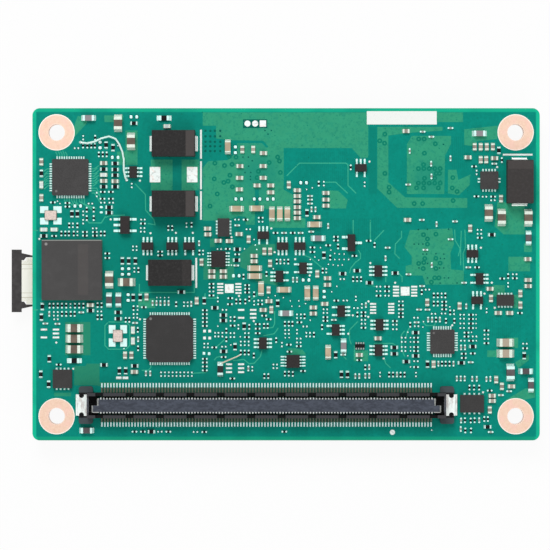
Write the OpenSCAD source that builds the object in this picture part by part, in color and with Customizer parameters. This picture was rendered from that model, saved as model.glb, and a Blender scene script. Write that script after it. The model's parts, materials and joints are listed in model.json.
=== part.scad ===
// Computer module on a small circuit board, with its carrier connector upwards.
// Millimetres. The origin is the centre of the four mounting holes, on the board's
// connector-side face; +X runs along the board, +Y away from the connector, +Z out of that face.

/* [Circuit board] */
// Length of the board along X
board_w = 84; // [84:0.5:95]
// Depth of the board along Y
board_d = 55; // [55:0.5:70]
// Thickness of the laminate
board_t = 2; // [1.6:0.1:2.4]
// Radius of the board's corners
corner_r = 1.2; // [0.5:0.1:2.5]

/* [Mounting holes] */
// Inset of each hole's centre from the two nearest edges
hole_inset = 4; // [3.6:0.1:4]
// Clear diameter of the plated hole
hole_d = 2.7; // [2.5:0.05:3.2]
// Diameter of the bare copper land round each hole
land_d = 6; // [5:0.1:6.2]

/* [Carrier connector] */
// Length that the contact rows leave free on an 84 mm board, both ends together
conn_free = 29.5; // [29.5:0.5:40]
// Spacing of the contacts along a row
contact_pitch = 0.5; // [0.45:0.01:0.5]
// Centre of the connector along X
conn_x = -3.25; // [-3.5:0.05:-3.2]
// Centre of the connector along Y
conn_y = -21.62; // [-21.7:0.02:-21.5]
// Height of the side walls above the board
conn_h = 3.6; // [3:0.1:5]
// Depth of the shroud across the two walls
conn_d = 4.15; // [4.1:0.01:4.3]
// Thickness of each side wall
conn_wall = 0.5; // [0.4:0.05:0.6]
// Width of the middle tongue
tongue_d = 2.35; // [1.9:0.05:2.4]
// Distance between keying notches along the walls
notch_pitch = 5; // [4:0.5:8]
// Width of each keying notch
notch_w = 1.3; // [0.8:0.1:2]
// Reach of a contact's foot from the connector's middle line
foot_reach = 3.6; // [3.3:0.05:3.65]

/* [Flat-cable connector] */
// Centre of the flat-cable connector along Y
fpc_y = -1.1; // [-3:0.05:1]
// Width of the housing
fpc_w = 7.7; // [7:0.1:9]
// Height of the housing
fpc_h = 1.2; // [1:0.05:1.5]
// Overhang of the housing past the board's edge
fpc_over = 1.95; // [1.5:0.05:2.2]
// Number of contacts
fpc_n = 12; // [8:1:13]
// Spacing of the contacts
fpc_pitch = 0.5; // [0.4:0.05:0.5]
// Length of the locking slider along Y
slider_w = 10.4; // [9.8:0.1:12]
// Depth of the slider's bar along X
slider_d = 1.6; // [1:0.05:1.8]
// Running clearance between slider and housing
slider_gap = 0.08; // [0.05:0.01:0.12]

/* [Controller package] */
// Side of the square ball-grid package
controller_w = 10; // [9.6:0.1:10.6]
// Thickness of its moulded cover
controller_mould_t = 0.75; // [0.5:0.05:1]
// Pitch of its solder balls
controller_pitch = 0.8; // [0.65:0.05:0.8]

/* [Tantalum capacitors] */
// Length of the moulded body
tant_l = 7.2; // [6.8:0.1:7.3]
// Width of the moulded body
tant_w = 4.3; // [4:0.1:4.4]
// Height of the moulded body
tant_h = 2.8; // [1.8:0.1:3.2]
// Width of the folded end terminals
tant_end_w = 2.5; // [2.2:0.1:2.8]

/* [Processor side] */
// Length of the processor package along X
cpu_w = 31; // [28:0.5:32]
// Depth of the processor package along Y
cpu_d = 24; // [22:0.5:26]
// Thickness of the processor package
cpu_t = 1.1; // [0.8:0.05:1.4]
// Length of the bare die along X
die_w = 10.5; // [8:0.5:14]
// Depth of the bare die along Y
die_d = 8.5; // [7:0.5:11]
// Width of each memory package
mem_w = 10; // [9:0.5:10.5]
// Depth of each memory package
mem_d = 13; // [11:0.5:14]
// Side of each square power choke
choke_w = 4.2; // [3.6:0.1:4.6]
// Height of the power chokes, on which the module lies
choke_h = 3; // [2.6:0.1:4]

/* [Hidden] */
$fn = 32;

// The board that the places below were read on; on another board they spread with its sides,
// and on a smaller one the parts shrink too, so that none comes onto its neighbour
plan = [84, 55];
kx = board_w / plan[0];
ky = board_d / plan[1];
ks = min(1, kx, ky);
// Half the spacing of the mounting holes
hole_x = board_w / 2 - ks * hole_inset;
hole_y = board_d / 2 - ks * hole_inset;
// Thickness of the plated copper and the solder under a body
copper_t = 0.05;
seat = 0.03;
lead_t = 0.12;
// Carrier connector: row length, tongue ends, well and end blocks
contact_n = floor((board_w - kx * conn_free) / contact_pitch + 0.001) + 1;
row_l = (contact_n - 1) * contact_pitch;
tongue_l = row_l + 1.3;
key_l = tongue_l + 1.8;
well_l = key_l + 0.9;
shroud_l = well_l + 0.6;
block_l = 2.3;
block_d = 6.2;
block_h = 1.1;
block_end = shroud_l / 2 + 1.45;
tongue_top = conn_h - 0.4;
conn_lift = 0.4;
contact_w = 0.22;
contact_t = 0.15;
contact_hook = 0.14;
hook_t = 0.1;
hook_floor = tongue_top - hook_t - 0.02;
// Metal strap at each end, and the pegs of the block that it is cut out for
strap_t = 0.15;
strap_w = 3.5;
strap_in = 1.4;
peg_r = 0.35;
peg_y = 1.6;
peg_gap = 0.06;
// Flat-cable connector: the board edge that it hangs over
edge_x = -board_w / 2;
fpc_tongue_w = fpc_w - 0.95;
slot_z = 0.4;
slot_h = 0.4;
// Standard chip sizes: length, width, height
s0402 = [1.05, 0.62, 0.5];
s0603 = [1.85, 0.9, 0.8];
s0805 = [2.1, 1.3, 1.25];
// Smallest chips: spacing and diameter of the solder mounds, and the gap to the body
dot_pitch = 0.64;
dot_d = 0.3;
dot_gap = 0.01;
dot_r_h = 0.2;
r0402 = [1.0, 0.55, 0.36];
r0603 = [1.6, 0.8, 0.45];

// Places read off the board, as centres: _h lies along X, _v along Y
c0402_h = [
    [-30.2, 18.4], [-30.2, 16.45], [-30.2, 15.45], [-28.3, 15.4], [-19.7, 24.5], [-3.75, 20.05],
    [-7.65, 17.9], [-3.8, 17.9], [-7.7, 15.95], [-3.8, 15.95], [-4.8, 14.7], [-7.75, 14.05],
    [-2.55, 14.7], [-2.55, 13.55], [19.85, 23.7], [30.1, 19.35], [34.5, 19.2], [-40.1, 7.4],
    [-38.4, 7.4], [-7.8, 6.65], [-13, 7.55], [-12.95, 6.6], [-11.25, 5.55], [-9.4, 5.5],
    [-5.3, 3.05], [-5.3, 2.15], [5.1, 9.45], [6.6, 13.45], [6.6, 12.35], [6.6, 11.35],
    [20.1, 9], [40, 2.5], [-32.4, -5.1], [-12.3, 0.5], [-12.3, -0.4], [-10.4, 0.5],
    [-10.4, -0.4], [-2.85, -4.45], [-3.8, -5.9], [6.85, -0.65], [6.85, -1.75], [4.5, -5.5],
    [4.5, -6.5], [6.4, -4.9], [15.2, -10.6], [33.75, -2.4], [40.05, -0.95], [40.05, -1.95],
    [35.1, -6.4], [37, -6.4], [-25.1, -16.15], [12.1, -13.35], [34.1, -20.1], [34.1, -20.95],
    [37.3, -18.55], [1.85, 13.9], [1.85, 12.95], [1.85, 12.05], [1.85, 11.1], [1.85, 10.2],
    [1.85, 9.3]
];
c0402_v = [
    [-40.5, 18.6], [-40.5, 14.8], [-40.5, 12.65], [-7.25, 20.65], [-5.45, 20.65], [0.45, 14.8],
    [31.2, 21.1], [32.2, 21.1], [33.2, 21.1], [34.2, 21.1], [32.2, 18.95], [33.1, 18.95],
    [-6.2, 5.8], [-14, 2], [-3.6, 3.8], [-2.65, 3.8], [-2.65, 1.8], [30.45, 7.6],
    [35.55, 12.5], [-23.1, -3.75], [-14.8, -4.4], [5.15, 0.05], [-2.9, -2.6], [-2.45, -5.85],
    [23.35, -4.65], [28.7, -5.25], [33.9, -4], [38.75, -3.2], [38.75, -5.1], [-25.35, -9.25],
    [-25.35, -11.05], [-26.65, -13.4], [-25.6, -13.4], [24.4, -14.9], [34.75, -17.45],
    [35.7, -18.55], [33.7, -22.45]
];
c0603_h = [[-8.2, 10.85], [-4.9, 10.9], [4.7, 8.25], [-5.2, 1], [-5.2, -0.3], [-0.35, -2.55]];
c0603_v = [
    [-9.65, 21.1], [-2.35, 10], [-1.05, 10], [0.2, 10], [-4.15, -2.35], [3.5, -3.1], [4.9, -3.1],
    [6.95, -12.9]
];
c0805_h = [
    [-35.05, -8.9], [-35.05, -10.65], [-35.05, -12.4], [-26.4, -1.3], [36.3, -11.3], [36.3, -13.1]
];
c0805_v = [[-27.8, 25], [-25.65, 22], [33.5, 10.15], [35.65, 9.4], [40.05, 9.35], [-29.25, -0.9]];
r0201_h = [
    [31.1, 17.85], [-38.6, 11.9], [-36.2, 11.8], [-36.2, 11.2], [-38.4, 6.35], [-33.3, 7],
    [-33.3, 6.4], [-31.65, 7], [-31.65, 6.4], [-30.35, 13.65], [-30.4, 12.5], [-29, 13.65],
    [-29, 12.5], [-29.6, 3.45], [-29.6, 2.7], [-23.7, 8.4], [-20.85, 3.75], [-20.85, 3.15],
    [-6.7, 9.05], [-9.65, 4.2], [-8.1, 3.3], [-4.2, 9.35], [-1.75, 6.85], [1.1, 6.85],
    [4.35, 4.45], [4.35, 3.7], [6.95, 4.8], [8.25, 6.2], [8.25, 5.6], [13.65, 5.55],
    [11.3, 3.05], [32.05, 6.05], [31.6, 1.15], [31.5, 12.9], [34.25, 12.85], [-23.55, -5.45],
    [-12.35, -1.6], [-12.35, -2.2], [-12.35, -3.5], [-6.45, -1.8], [-6.45, -2.4], [-6.45, -3],
    [-9.25, -3.95], [-9.3, -4.95], [-4.3, -4.95], [-13.45, -5.95], [-13.45, -6.6],
    [-13.45, -7.25], [-13.45, -7.9], [-13.45, -8.55], [-3.65, -6.85], [-2.9, -7.45],
    [-8.85, -8.5], [-4.7, -8.25], [-4.7, -9], [-4.7, -9.75], [-6.5, -10.4], [-11.9, -12.1],
    [2.2, -7.95], [6.5, -7.1], [6.5, -7.7], [8.3, -4.35], [2.1, -11.9], [0.45, -11.65],
    [0.55, -12.8], [15.3, -3.55], [16.7, -2.05], [16.7, -2.8], [12.8, -6.3], [12.8, -6.9],
    [12.8, -8.85], [19, -5.15], [19, -6.45], [19, -7.05], [18, -7.75], [21.5, -10.5],
    [21.5, -11.2], [21.5, -12.05], [21.5, -12.7], [26.15, -4.55], [26.15, -5.15], [26.15, -5.8],
    [30.6, -6.7], [30.6, -7.4], [30.6, -8.15], [30.6, -8.9], [29.85, -9.65], [29.85, -10.3],
    [30.6, -11], [33.15, -9.3], [33.15, -11.4], [35.75, -0.7], [37.85, -0.65], [38.7, -6.4],
    [39.55, -12.25], [-37.65, -14.95], [-25.1, -26.05], [-23.7, -26.05], [-19.5, -26.05],
    [-13.55, -26.1], [-13.45, -14], [-13.45, -14.6], [-13.45, -15.25], [-13.45, -15.9],
    [-10.35, -13.7], [-8.9, -17.25], [2.8, -16], [-0.3, -26.05], [12.1, -14.2], [21.5, -15.35],
    [29.4, -13.85], [29.4, -13.15], [30.9, -13.1], [33.7, -19.25]
];
r0201_v = [
    [-31.6, 22.6], [-33.6, 21.3], [-32.9, 21.3], [-32.25, 21.3], [-31.65, 21.3], [-31, 19.85],
    [-30.35, 19.85], [-29.7, 19.85], [5.4, 15], [10.7, 17.7], [35.7, 18.9], [-33, 10.7],
    [-31.85, 10.7], [-33, 9.3], [-31.85, 9.3], [-35.9, 8.1], [-34.55, 8.1], [-37.2, 6.75],
    [-36.55, 6.75], [-35.95, 6.75], [-35.15, 6.75], [-30.65, 6.75], [-30.05, 6.75],
    [-19.5, 7.65], [-18.85, 7.65], [-15.65, 8.2], [-14.35, 3.6], [8.6, 4.6], [7.3, 2.75],
    [-1.55, 2.1], [0.35, 2.1], [14.65, 4.85], [-39.15, -5.2], [-38.5, -5.2], [-37.8, -5.2],
    [-37.1, -5.2], [-36.4, -5.2], [-34.95, -5.2], [-34.25, -5.2], [-33.55, -5.2], [-31.2, -5.1],
    [-30.55, -5.1], [-37.1, -6.55], [-36.4, -6.55], [-35.65, -6.55], [-35, -6.55], [-31.2, -7.1],
    [-30.55, -7.1], [-24.45, 0.7], [-18.2, -4.95], [-25.25, -5.6], [-26.55, -7.55],
    [-25.95, -7.55], [-24.55, -9.2], [-24.5, -12.25], [-7.05, -0.4], [-3.25, 0.05], [-5.3, -3.3],
    [-8.25, -4.5], [-7.6, -4.5], [-6.75, -4.5], [-6.1, -4.05], [-8.55, -7.4], [-6.1, -8.7],
    [-3.65, -8.55], [-3.05, -8.55], [-9.9, -9.35], [-9.9, -10.75], [-7.5, -12.95],
    [-6.85, -12.95], [-6.2, -12.95], [6.05, 0.6], [3.05, -6.95], [-0.2, -8.2], [0.45, -8.2],
    [1.05, -8.2], [5.95, -8.75], [4.6, -10], [-1.65, -10.9], [11.1, -0.8], [11.75, -0.8],
    [12.4, -0.8], [22.45, -2.95], [11.8, -6.65], [20.55, -8.35], [24.45, -3.5], [25.1, -3.5],
    [26.35, -3.5], [24.45, -4.85], [25.1, -4.85], [27.15, -6.3], [24.8, -7.5], [26.45, -7.7],
    [27.85, -7.7], [36.75, -0.3], [-5.35, -13.45], [-3.6, -16.85], [-2.95, -16.85],
    [-0.2, -16.45], [0.45, -16.45], [1.1, -16.5], [13.1, -15.4], [17.05, -16.6], [17.7, -16.6],
    [18.95, -16.6], [19.6, -16.6], [25.8, -14.8], [26.4, -14.8], [27.05, -14.8], [30.35, -18.75],
    [31.1, -18.75], [31.95, -18.75], [29.6, -24.15], [30.55, -24.2], [31.2, -24.15],
    [32.8, -23.95], [33.4, -23.95], [29.65, -25.85], [30.6, -25.85]
];
c0201_h = [
    [22.6, 23.6], [24.05, 22.75], [27.2, 24.2], [20.2, 14.85], [34.45, 18.3], [-8.1, 8.1],
    [-8.25, 1.45], [3.95, 12.95], [3.95, 12.35], [3.95, 11.7], [4.15, 7.05], [-0.35, 6.85],
    [2.4, 6.85], [16.8, 4.4], [22.45, 9], [27.95, 8.75], [27.2, 5.8], [23.05, 4.05],
    [30.15, 1.15], [-33.9, -6.3], [-39.85, -8.15], [-37.85, -8.2], [-25, -8.05], [7.9, -7.55],
    [20.25, 0], [22.5, -1.95], [19, -5.8], [21.6, -7.95], [22, -5.85], [23.4, -5.85],
    [29.45, -1.4], [9.45, -13.3], [30.55, -14.55], [33.85, -26.1], [36.9, -19.35], [35.55, -20]
];
c0201_v = [
    [20.45, 20.4], [27.2, 19.2], [24, 18.3], [24.05, 16.2], [-14.4, 5.15], [4.2, 10.75],
    [4.85, 10.75], [6.95, 8], [-0.95, 2.1], [16.45, 2.65], [24.9, 8.3], [24.1, 1.55],
    [-39.2, -6.55], [-24.5, -10.75], [-22.1, -4.75], [-21.45, -4.75], [-20.8, -4.75],
    [-20.1, -4.75], [-19.45, -4.75], [-15.7, -4.9], [1.15, -0.9], [1.8, -0.9], [13.2, -5.1],
    [29.8, -5.3], [23.5, -7.5], [24.15, -7.5], [25.45, -7.5], [28.95, -12.1], [29.6, -12.1],
    [-23.2, -16.4], [-22.5, -16.4], [-6.25, -15.6], [13.75, -15.35], [11.45, -16.85],
    [12.1, -16.85], [13.1, -16.8], [13.75, -16.8], [18.35, -16.6], [25.2, -14.8], [27.7, -14.8],
    [28.25, -17.25], [28.9, -17.25], [29.55, -17.25], [30.8, -17.3], [31.55, -17.3],
    [33.15, -17.35], [33.8, -17.3], [28.95, -24.2], [31.95, -24.15], [28.9, -25.6]
];
r0402_h = [
    [-30.2, 17.4], [-30.2, 14.5], [-28.3, 18.35], [-28.3, 17.35], [-28.3, 16.4], [-28.3, 14.5],
    [-25.2, 25], [-40.1, 6.35], [-29.3, 11.1], [-29.3, 10.2], [-8.1, 4.15], [-8.2, 2.35],
    [34.05, 6.55], [-32.4, -6], [-17.35, -2.95], [-27.8, -6.3], [-27.8, -7.35], [-11.8, -5.55],
    [-10.4, -6.75], [-10.4, -7.65], [-10.35, -12.75], [9.35, 0.1], [11.75, 0.6], [13.8, -1.4],
    [18.05, 0.2], [21.45, -9.65], [17.9, -12.1], [17.9, -13.15], [30.9, -11.95], [-30.15, -15],
    [-25.05, -15.15], [-22.3, -26.05], [21.45, -13.5], [19.9, -14.45], [29, -14.65],
    [33.35, -25.25]
];
r0402_v = [
    [-29.8, 21.4], [-40.5, 16.7], [-28.65, 20.95], [35.2, 20.5], [-35.45, 10], [-34.55, 10],
    [-27.1, 2.2], [-26.05, 2.2], [-24.95, 2.2], [3.45, 10.15], [6.25, 3.15], [-40.35, -5.35],
    [-40.5, -7.1], [-25.3, -3.85], [-24.15, -3.85], [-13.55, -4.4], [-6.95, -8.6], [-8.45, -12],
    [-1.4, -4.8], [-39.2, -14], [-40.6, -16.55], [-39.3, -18.2], [-27.6, -16], [-26.55, -16],
    [8.2, -13.35], [9.15, -16.6], [10.15, -16.6], [23.4, -14.9], [39.4, -13.5]
];
r0603_h = [[-20.2, 25.85], [-35.05, -14.3]];
bead_h = [[-32.7, 25.85], [32, 23.3], [5.3, 5.95], [-0.05, -6.45], [-33, -25.85], [39.65, -16.05]];
bead_v = [
    [40.5, -18.35], [9.5, -11.85], [-29.3, -4.25], [-27.75, -4.25], [40.1, 6], [-10.9, -15.7]
];
bead_large_v = [[37.1, -16.25]];
// Small-outline transistors: width, length and height of the body, then reach, width and pitch of
// the leads, then places and turns
sot = [1.3, 1.9, 0.95];
sot_lead = [1.5, 0.3, 0.65];
sot_six = [
    [-25.3, 16.9, 0], [15.25, 0.55, 0], [15.45, -8.35, 0], [15.3, -12.55, 0], [-3.85, -11.4, 0],
    [-22.95, 4.65, 90], [-18.85, 4.65, 90], [-0.6, 4.65, 90], [2.25, 4.65, 90], [30.8, 3.4, 90]
];
sot_five = [
    [-1.1, -0.35, 0], [2.8, 1, 180], [9.1, -6.1, 180], [8.2, -9.2, 180], [32, -0.75, 180],
    [12.35, 17.6, -90], [-16.05, 4.65, -90], [-3.8, 6.45, -90], [31.6, -4.3, -90]
];
tants = [[-18.6, 21.6, 0], [-18.6, 11.65, 0], [-19.2, 0.25, 0], [38.6, 15.3, 90]];
crystals = [[-38.95, 9.75, 0], [-27.85, -10.2, 90]];
chokes = [
    [36.5, 15], [36.5, 9], [36.5, -9], [19, -21], [25, -21], [-8, -21], [-14, 22.5], [-8, 22.5]
];
memories = [[28, 1], [28, -1], [-24, 1], [-24, -1]];
mem_gap = 1.2;
back_caps = [
    [13, -21], [10.5, -21], [31, -21], [36.5, 2], [36.5, -2], [33, 20.5], [-3, 22.5], [-0.5, 22.5],
    [14, 20], [16.5, 20], [-2, -21], [0.5, -21], [-19, 22.5], [22, 22], [24.5, 22], [3, -21]
];
// The two hand-laid wires, over the chips that they cross
wire_a = [
    [-34.05, 21.85, 0.2], [-33.9, 21.8, 0.7], [-32.9, 21.65, 0.8], [-31.6, 21.95, 0.8],
    [-30.6, 22.45, 0.8], [-29.3, 22.8, 0.7], [-28.2, 22.4, 0.7], [-27.6, 21.5, 0.7],
    [-27.1, 20.3, 0.6], [-26.85, 19, 0.5], [-26.85, 17.2, 0.5], [-26.6, 16, 0.5],
    [-26.4, 15.6, 0.2]
];
wire_b = [
    [-10.9, -14.82, 0.95], [-10.5, -14.63, 0.97], [-9.7, -14.27, 0.84], [-8.9, -13.94, 0.72],
    [-8.2, -13.64, 0.58], [-7.75, -13.42, 0.42], [-7.5, -13.27, 0.34]
];

// A wire's route on the board as it is now
function spread_route(p) = [for (q = p) [q[0] * kx, q[1] * ky, q[2]]];

// Evenly spaced offsets about zero
function line(n, pitch) = [for (i = [0:n - 1]) (i - (n - 1) / 2) * pitch];

module at(p, a = 0)
    translate([p[0] * kx, p[1] * ky, 0])
        scale(ks)
            rotate(a)
                children();

// Children at every place of a lying list and, turned, of a standing list
module spread(h, v) {
    for (p = h)
        at(p)
            children();
    for (p = v)
        at(p, 90)
            children();
}

// Children on the processor side, drawn as if that side were up
module under()
    translate([0, 0, -board_t])
        mirror([0, 0, 1])
            children();

// Block centred in plan, from one height to another
module slab(x, y, z0, z1)
    translate([-x / 2, -y / 2, z0])
        cube([x, y, z1 - z0]);

// A profile in X and Z, drawn out along Y about the middle
module along_y(l)
    rotate([90, 0, 0])
        linear_extrude(l, center = true)
            children();

module both()
    for (m = [0, 1])
        mirror([m, 0, 0])
            children();

module rounded(w, d, r) {
    square([w - 2 * r, d], center = true);
    square([w, d - 2 * r], center = true);
    for (x = [-1, 1], y = [-1, 1])
        translate([x * (w / 2 - r), y * (d / 2 - r)])
            circle(r);
}

// Square outline with cut corners
module cut_square(w, c)
    polygon([
        for (a = [0:3], s = [-1, 1])
            let (p = s < 0 ? [w / 2, -w / 2 + c] : [w / 2, w / 2 - c])
            [p[0] * cos(90 * a) - p[1] * sin(90 * a), p[0] * sin(90 * a) + p[1] * cos(90 * a)]
    ]);

// Chip part: ceramic between two soldered end bands
module chip_body(s, band)
    slab(s[0] - 2 * band, s[1], seat, s[2] - 0.02);

module chip_ends(s, band, pad)
    both()
        along_y(s[1])
            polygon([
                [s[0] / 2 - band, 0],
                [s[0] / 2 - band, s[2]],
                [s[0] / 2, s[2]],
                [s[0] / 2 + 0.05, 0.4 * s[2]],
                [pad, copper_t],
                [pad, 0]
            ]);

// Moulded body with drafted sides and a parting band where the leads leave it
module moulded(w, l, h, z0, mid)
    along_y(l)
        polygon([
            [-w / 2 + 0.08, z0],
            [-w / 2, mid - 0.08],
            [-w / 2, mid + 0.08],
            [-w / 2 + 0.1, h],
            [w / 2 - 0.1, h],
            [w / 2, mid + 0.08],
            [w / 2, mid - 0.08],
            [w / 2 - 0.08, z0]
        ]);

// Gull-wing lead from the body's side face to its foot
module gull(b, reach, mid, w)
    along_y(w)
        polygon([
            [b, mid - lead_t / 2],
            [b, mid + lead_t / 2],
            [b + 0.22, mid + lead_t / 2],
            [b + 0.42, lead_t],
            [reach, lead_t],
            [reach, 0],
            [b + 0.3, 0],
            [b + 0.14, mid - lead_t / 2]
        ]);

// Pads of a leadless package along its two sides on X
module side_pads(n, pitch, w, out, pad_w)
    both()
        for (y = line(n, pitch))
            translate([w / 2, y - pad_w / 2, 0])
                cube([out, pad_w, lead_t]);

module quad_pads(n, pitch, w, out, pad_w) {
    side_pads(n, pitch, w, out, pad_w);
    rotate(90)
        side_pads(n, pitch, w, out, pad_w);
}

// Round wire swept along a route of points, with a small solder cone at each end
function unit(v) = v / norm(v);
function along(p, i) = unit(p[min(i + 1, len(p) - 1)] - p[max(i - 1, 0)]);
function ring(p, i, r, n) =
    let (t = along(p, i), u = unit(cross(t, [0.3, 1, 0.2])), v = cross(t, u))
    [for (k = [0:n - 1]) p[i] + r * (cos(360 * k / n) * u + sin(360 * k / n) * v)];
module wire(p, r, n = 8) {
    m = len(p);
    polyhedron(
        points = [for (i = [0:m - 1]) each ring(p, i, r, n)],
        faces = concat(
            [[for (k = [0:n - 1]) k]],
            [
                for (i = [0:m - 2], k = [0:n - 1])
                    [i * n + k, (i + 1) * n + k, (i + 1) * n + (k + 1) % n, i * n + (k + 1) % n]
            ],
            [[for (k = [0:n - 1]) (m - 1) * n + n - 1 - k]]
        )
    );
}

module board()
    color([0, 0.5, 0.42])
        difference() {
            translate([0, 0, -board_t])
                linear_extrude(board_t)
                    rounded(board_w, board_d, corner_r);
            for (x = [-1, 1], y = [-1, 1])
                translate([x * hole_x, y * hole_y, -board_t - 1])
                    cylinder(h = board_t + 2, d = hole_d + 2 * copper_t);
        }

module screw_lands()
    color([0.93, 0.68, 0.55])
        for (x = [-1, 1], y = [-1, 1])
            translate([x * hole_x, y * hole_y, 0])
                rotate_extrude($fn = 64) {
                    translate([hole_d / 2, 0])
                        square([(ks * land_d - hole_d) / 2, copper_t]);
                    translate([hole_d / 2, -board_t])
                        square([copper_t, board_t]);
                    translate([hole_d / 2, -board_t - copper_t])
                        square([(ks * land_d - hole_d) / 2, copper_t]);
                }

module land(x, y, w, d)
    at([x, y])
        slab(w, d, 0, copper_t);

// Two rows of lands for a package that isn't fitted
module land_rows(n, pitch, start, w)
    both()
        for (y = line(n, pitch))
            translate([start, y - w / 2, 0])
                cube([1, w, copper_t]);

// Lands with no part on them, test points and the aiming mark of the placing machine
module open_lands()
    color([0.86, 0.88, 0.86]) {
        for (x = [-21.7, -15.55])
            land(x, 16.5, 1.75, 2.55);
        for (p = [[-9.4, -2.35], [19.7, -2.8], [15.9, -5.65]])
            at(p)
                land_rows(4, 0.5, 1, 0.28);
        for (p = [[-9.4, -2.35], [19.7, -2.8]])
            land(p[0], p[1], 1.45, 1.45);
        at([-8.45, -15.55])
            land_rows(3, 0.65, 0.5, 0.3);
        for (p = [[-39.1, -9.8], [-6.45, -6.55]])
            at(p)
                for (y = line(3, 0.65))
                    translate([0, y, 0]) {
                        translate([1, 0, 0])
                            slab(1.05, 0.3, 0, copper_t);
                        if (y != 0)
                            translate([-1, 0, 0])
                                slab(1.05, 0.3, 0, copper_t);
                    }
        for (x = [-13.5, -12.65])
            for (y = [-9.4, -10.55])
                land(x, y, 0.45, 0.45);
        for (x = [-27.7, -26.6])
            land(x, -17.15, 0.9, 0.42);
        land(-3.85, 24.95, 1.05, 1.05);
        for (p = [[-6.4, 24.95, 1], [-5.13, 24.95, 1], [17.6, -26.15, 0.85]])
            at(p)
                cylinder(h = copper_t, d = p[2]);
    }

// Carrier connector: open well with two walls, a stepped tongue and an end block at each side
module connector_housing()
    color([0.13, 0.13, 0.15])
        translate([conn_x * kx, conn_y * ky, 0]) {
            difference() {
                slab(shroud_l, conn_d, conn_lift, conn_h);
                slab(well_l, conn_d - 2 * conn_wall, conn_lift - 1, conn_h + 1);
                for (x = line(floor(row_l / notch_pitch) + 2, notch_pitch))
                    translate([x, 0, 0])
                        slab(notch_w, conn_d + 1, conn_h - 0.9, conn_h + 1);
            }
            difference() {
                union() {
                    translate([0, tongue_d / 4, 0])
                        tongue_half(tongue_l);
                    translate([0, -tongue_d / 4, 0])
                        tongue_half(key_l);
                }
                for (y = [-1, 1])
                    translate([0, y * (tongue_d - contact_hook) / 2, 0])
                        slab(key_l, contact_hook + 0.04, hook_floor, conn_h);
            }
            both() {
                floor_l = (well_l - tongue_l) / 2;
                translate([tongue_l / 2 + floor_l / 2, 0, 0])
                    slab(floor_l, conn_d - 2 * conn_wall, conn_lift, 1.2);
                translate([block_end - block_l / 2, 0, 0])
                    difference() {
                        linear_extrude(block_h)
                            rounded(block_l, block_d, 0.4);
                        translate([-block_l / 2, 0, 0])
                            slab(2, conn_d - 1, -1, conn_lift);
                    }
                for (y = [-1, 1])
                    translate([block_end - 0.45, y * peg_y, block_h])
                        cylinder(h = strap_t + 0.1, r = peg_r);
            }
        }

// One long half of the tongue, bevelled at its ends
module tongue_half(l)
    along_y(tongue_d / 2)
        polygon([
            [-l / 2, conn_lift],
            [-l / 2, tongue_top - 0.5],
            [-l / 2 + 0.28, tongue_top],
            [l / 2 - 0.28, tongue_top],
            [l / 2, tongue_top - 0.5],
            [l / 2, conn_lift]
        ]);

// One contact: foot, run below the wall, blade on the tongue's side and hook sunk in its edge
module contact_profile()
    polygon([
        [foot_reach, 0],
        [foot_reach, lead_t],
        [foot_reach - 0.65, lead_t],
        [foot_reach - 0.85, conn_lift - 0.05],
        [tongue_d / 2 + contact_t, conn_lift - 0.05],
        [tongue_d / 2 + contact_t, hook_floor - 0.02],
        [tongue_d / 2 + 0.05, hook_floor + hook_t],
        [tongue_d / 2 - contact_hook, hook_floor + hook_t],
        [tongue_d / 2 - contact_hook, hook_floor],
        [tongue_d / 2, hook_floor],
        [tongue_d / 2, conn_lift - 0.05 - lead_t],
        [foot_reach - 0.95, conn_lift - 0.05 - lead_t],
        [foot_reach - 0.75, 0]
    ]);

module connector_contacts()
    color([0.8, 0.8, 0.76])
        translate([conn_x * kx, conn_y * ky, 0])
            for (a = [90, -90])
                rotate(a)
                    for (x = line(contact_n, contact_pitch))
                        translate([0, x, 0])
                            along_y(contact_w)
                                contact_profile();

// Folded metal strap over each end block, soldered outside it
module connector_hold_downs()
    color([0.85, 0.86, 0.87])
        translate([conn_x * kx, conn_y * ky, 0])
            both()
                translate([block_end, 0, 0])
                    difference() {
                        along_y(strap_w)
                            polygon([
                                [0.55, 0],
                                [0.55, 0.3],
                                [0.25, 0.3],
                                [strap_t, 0.45],
                                [strap_t, block_h + strap_t],
                                [-strap_in, block_h + strap_t],
                                [-strap_in, block_h],
                                [0, block_h],
                                [0, 0]
                            ]);
                        for (y = [-1, 1])
                            translate([-0.45, y * peg_y, block_h - 0.1])
                                cylinder(h = 1, r = peg_r + peg_gap);
                    }

// Flat-cable connector below the board's left edge; the slider's plate runs in its slot
module fpc_housing()
    color([0.92, 0.9, 0.82])
        under()
            translate([edge_x, fpc_y * ky, 0])
                difference() {
                    union() {
                        translate([(2.8 - fpc_over + 0.75) / 2, 0, 0])
                            slab(2.8 + fpc_over - 0.75, fpc_w, 0, fpc_h);
                        translate([-fpc_over + 0.5, 0, 0])
                            slab(1, fpc_tongue_w, 0, fpc_h - 0.1);
                    }
                    translate([-fpc_over + 0.8, 0, 0])
                        slab(2, fpc_tongue_w - 0.6, slot_z, slot_z + slot_h);
                }

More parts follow.
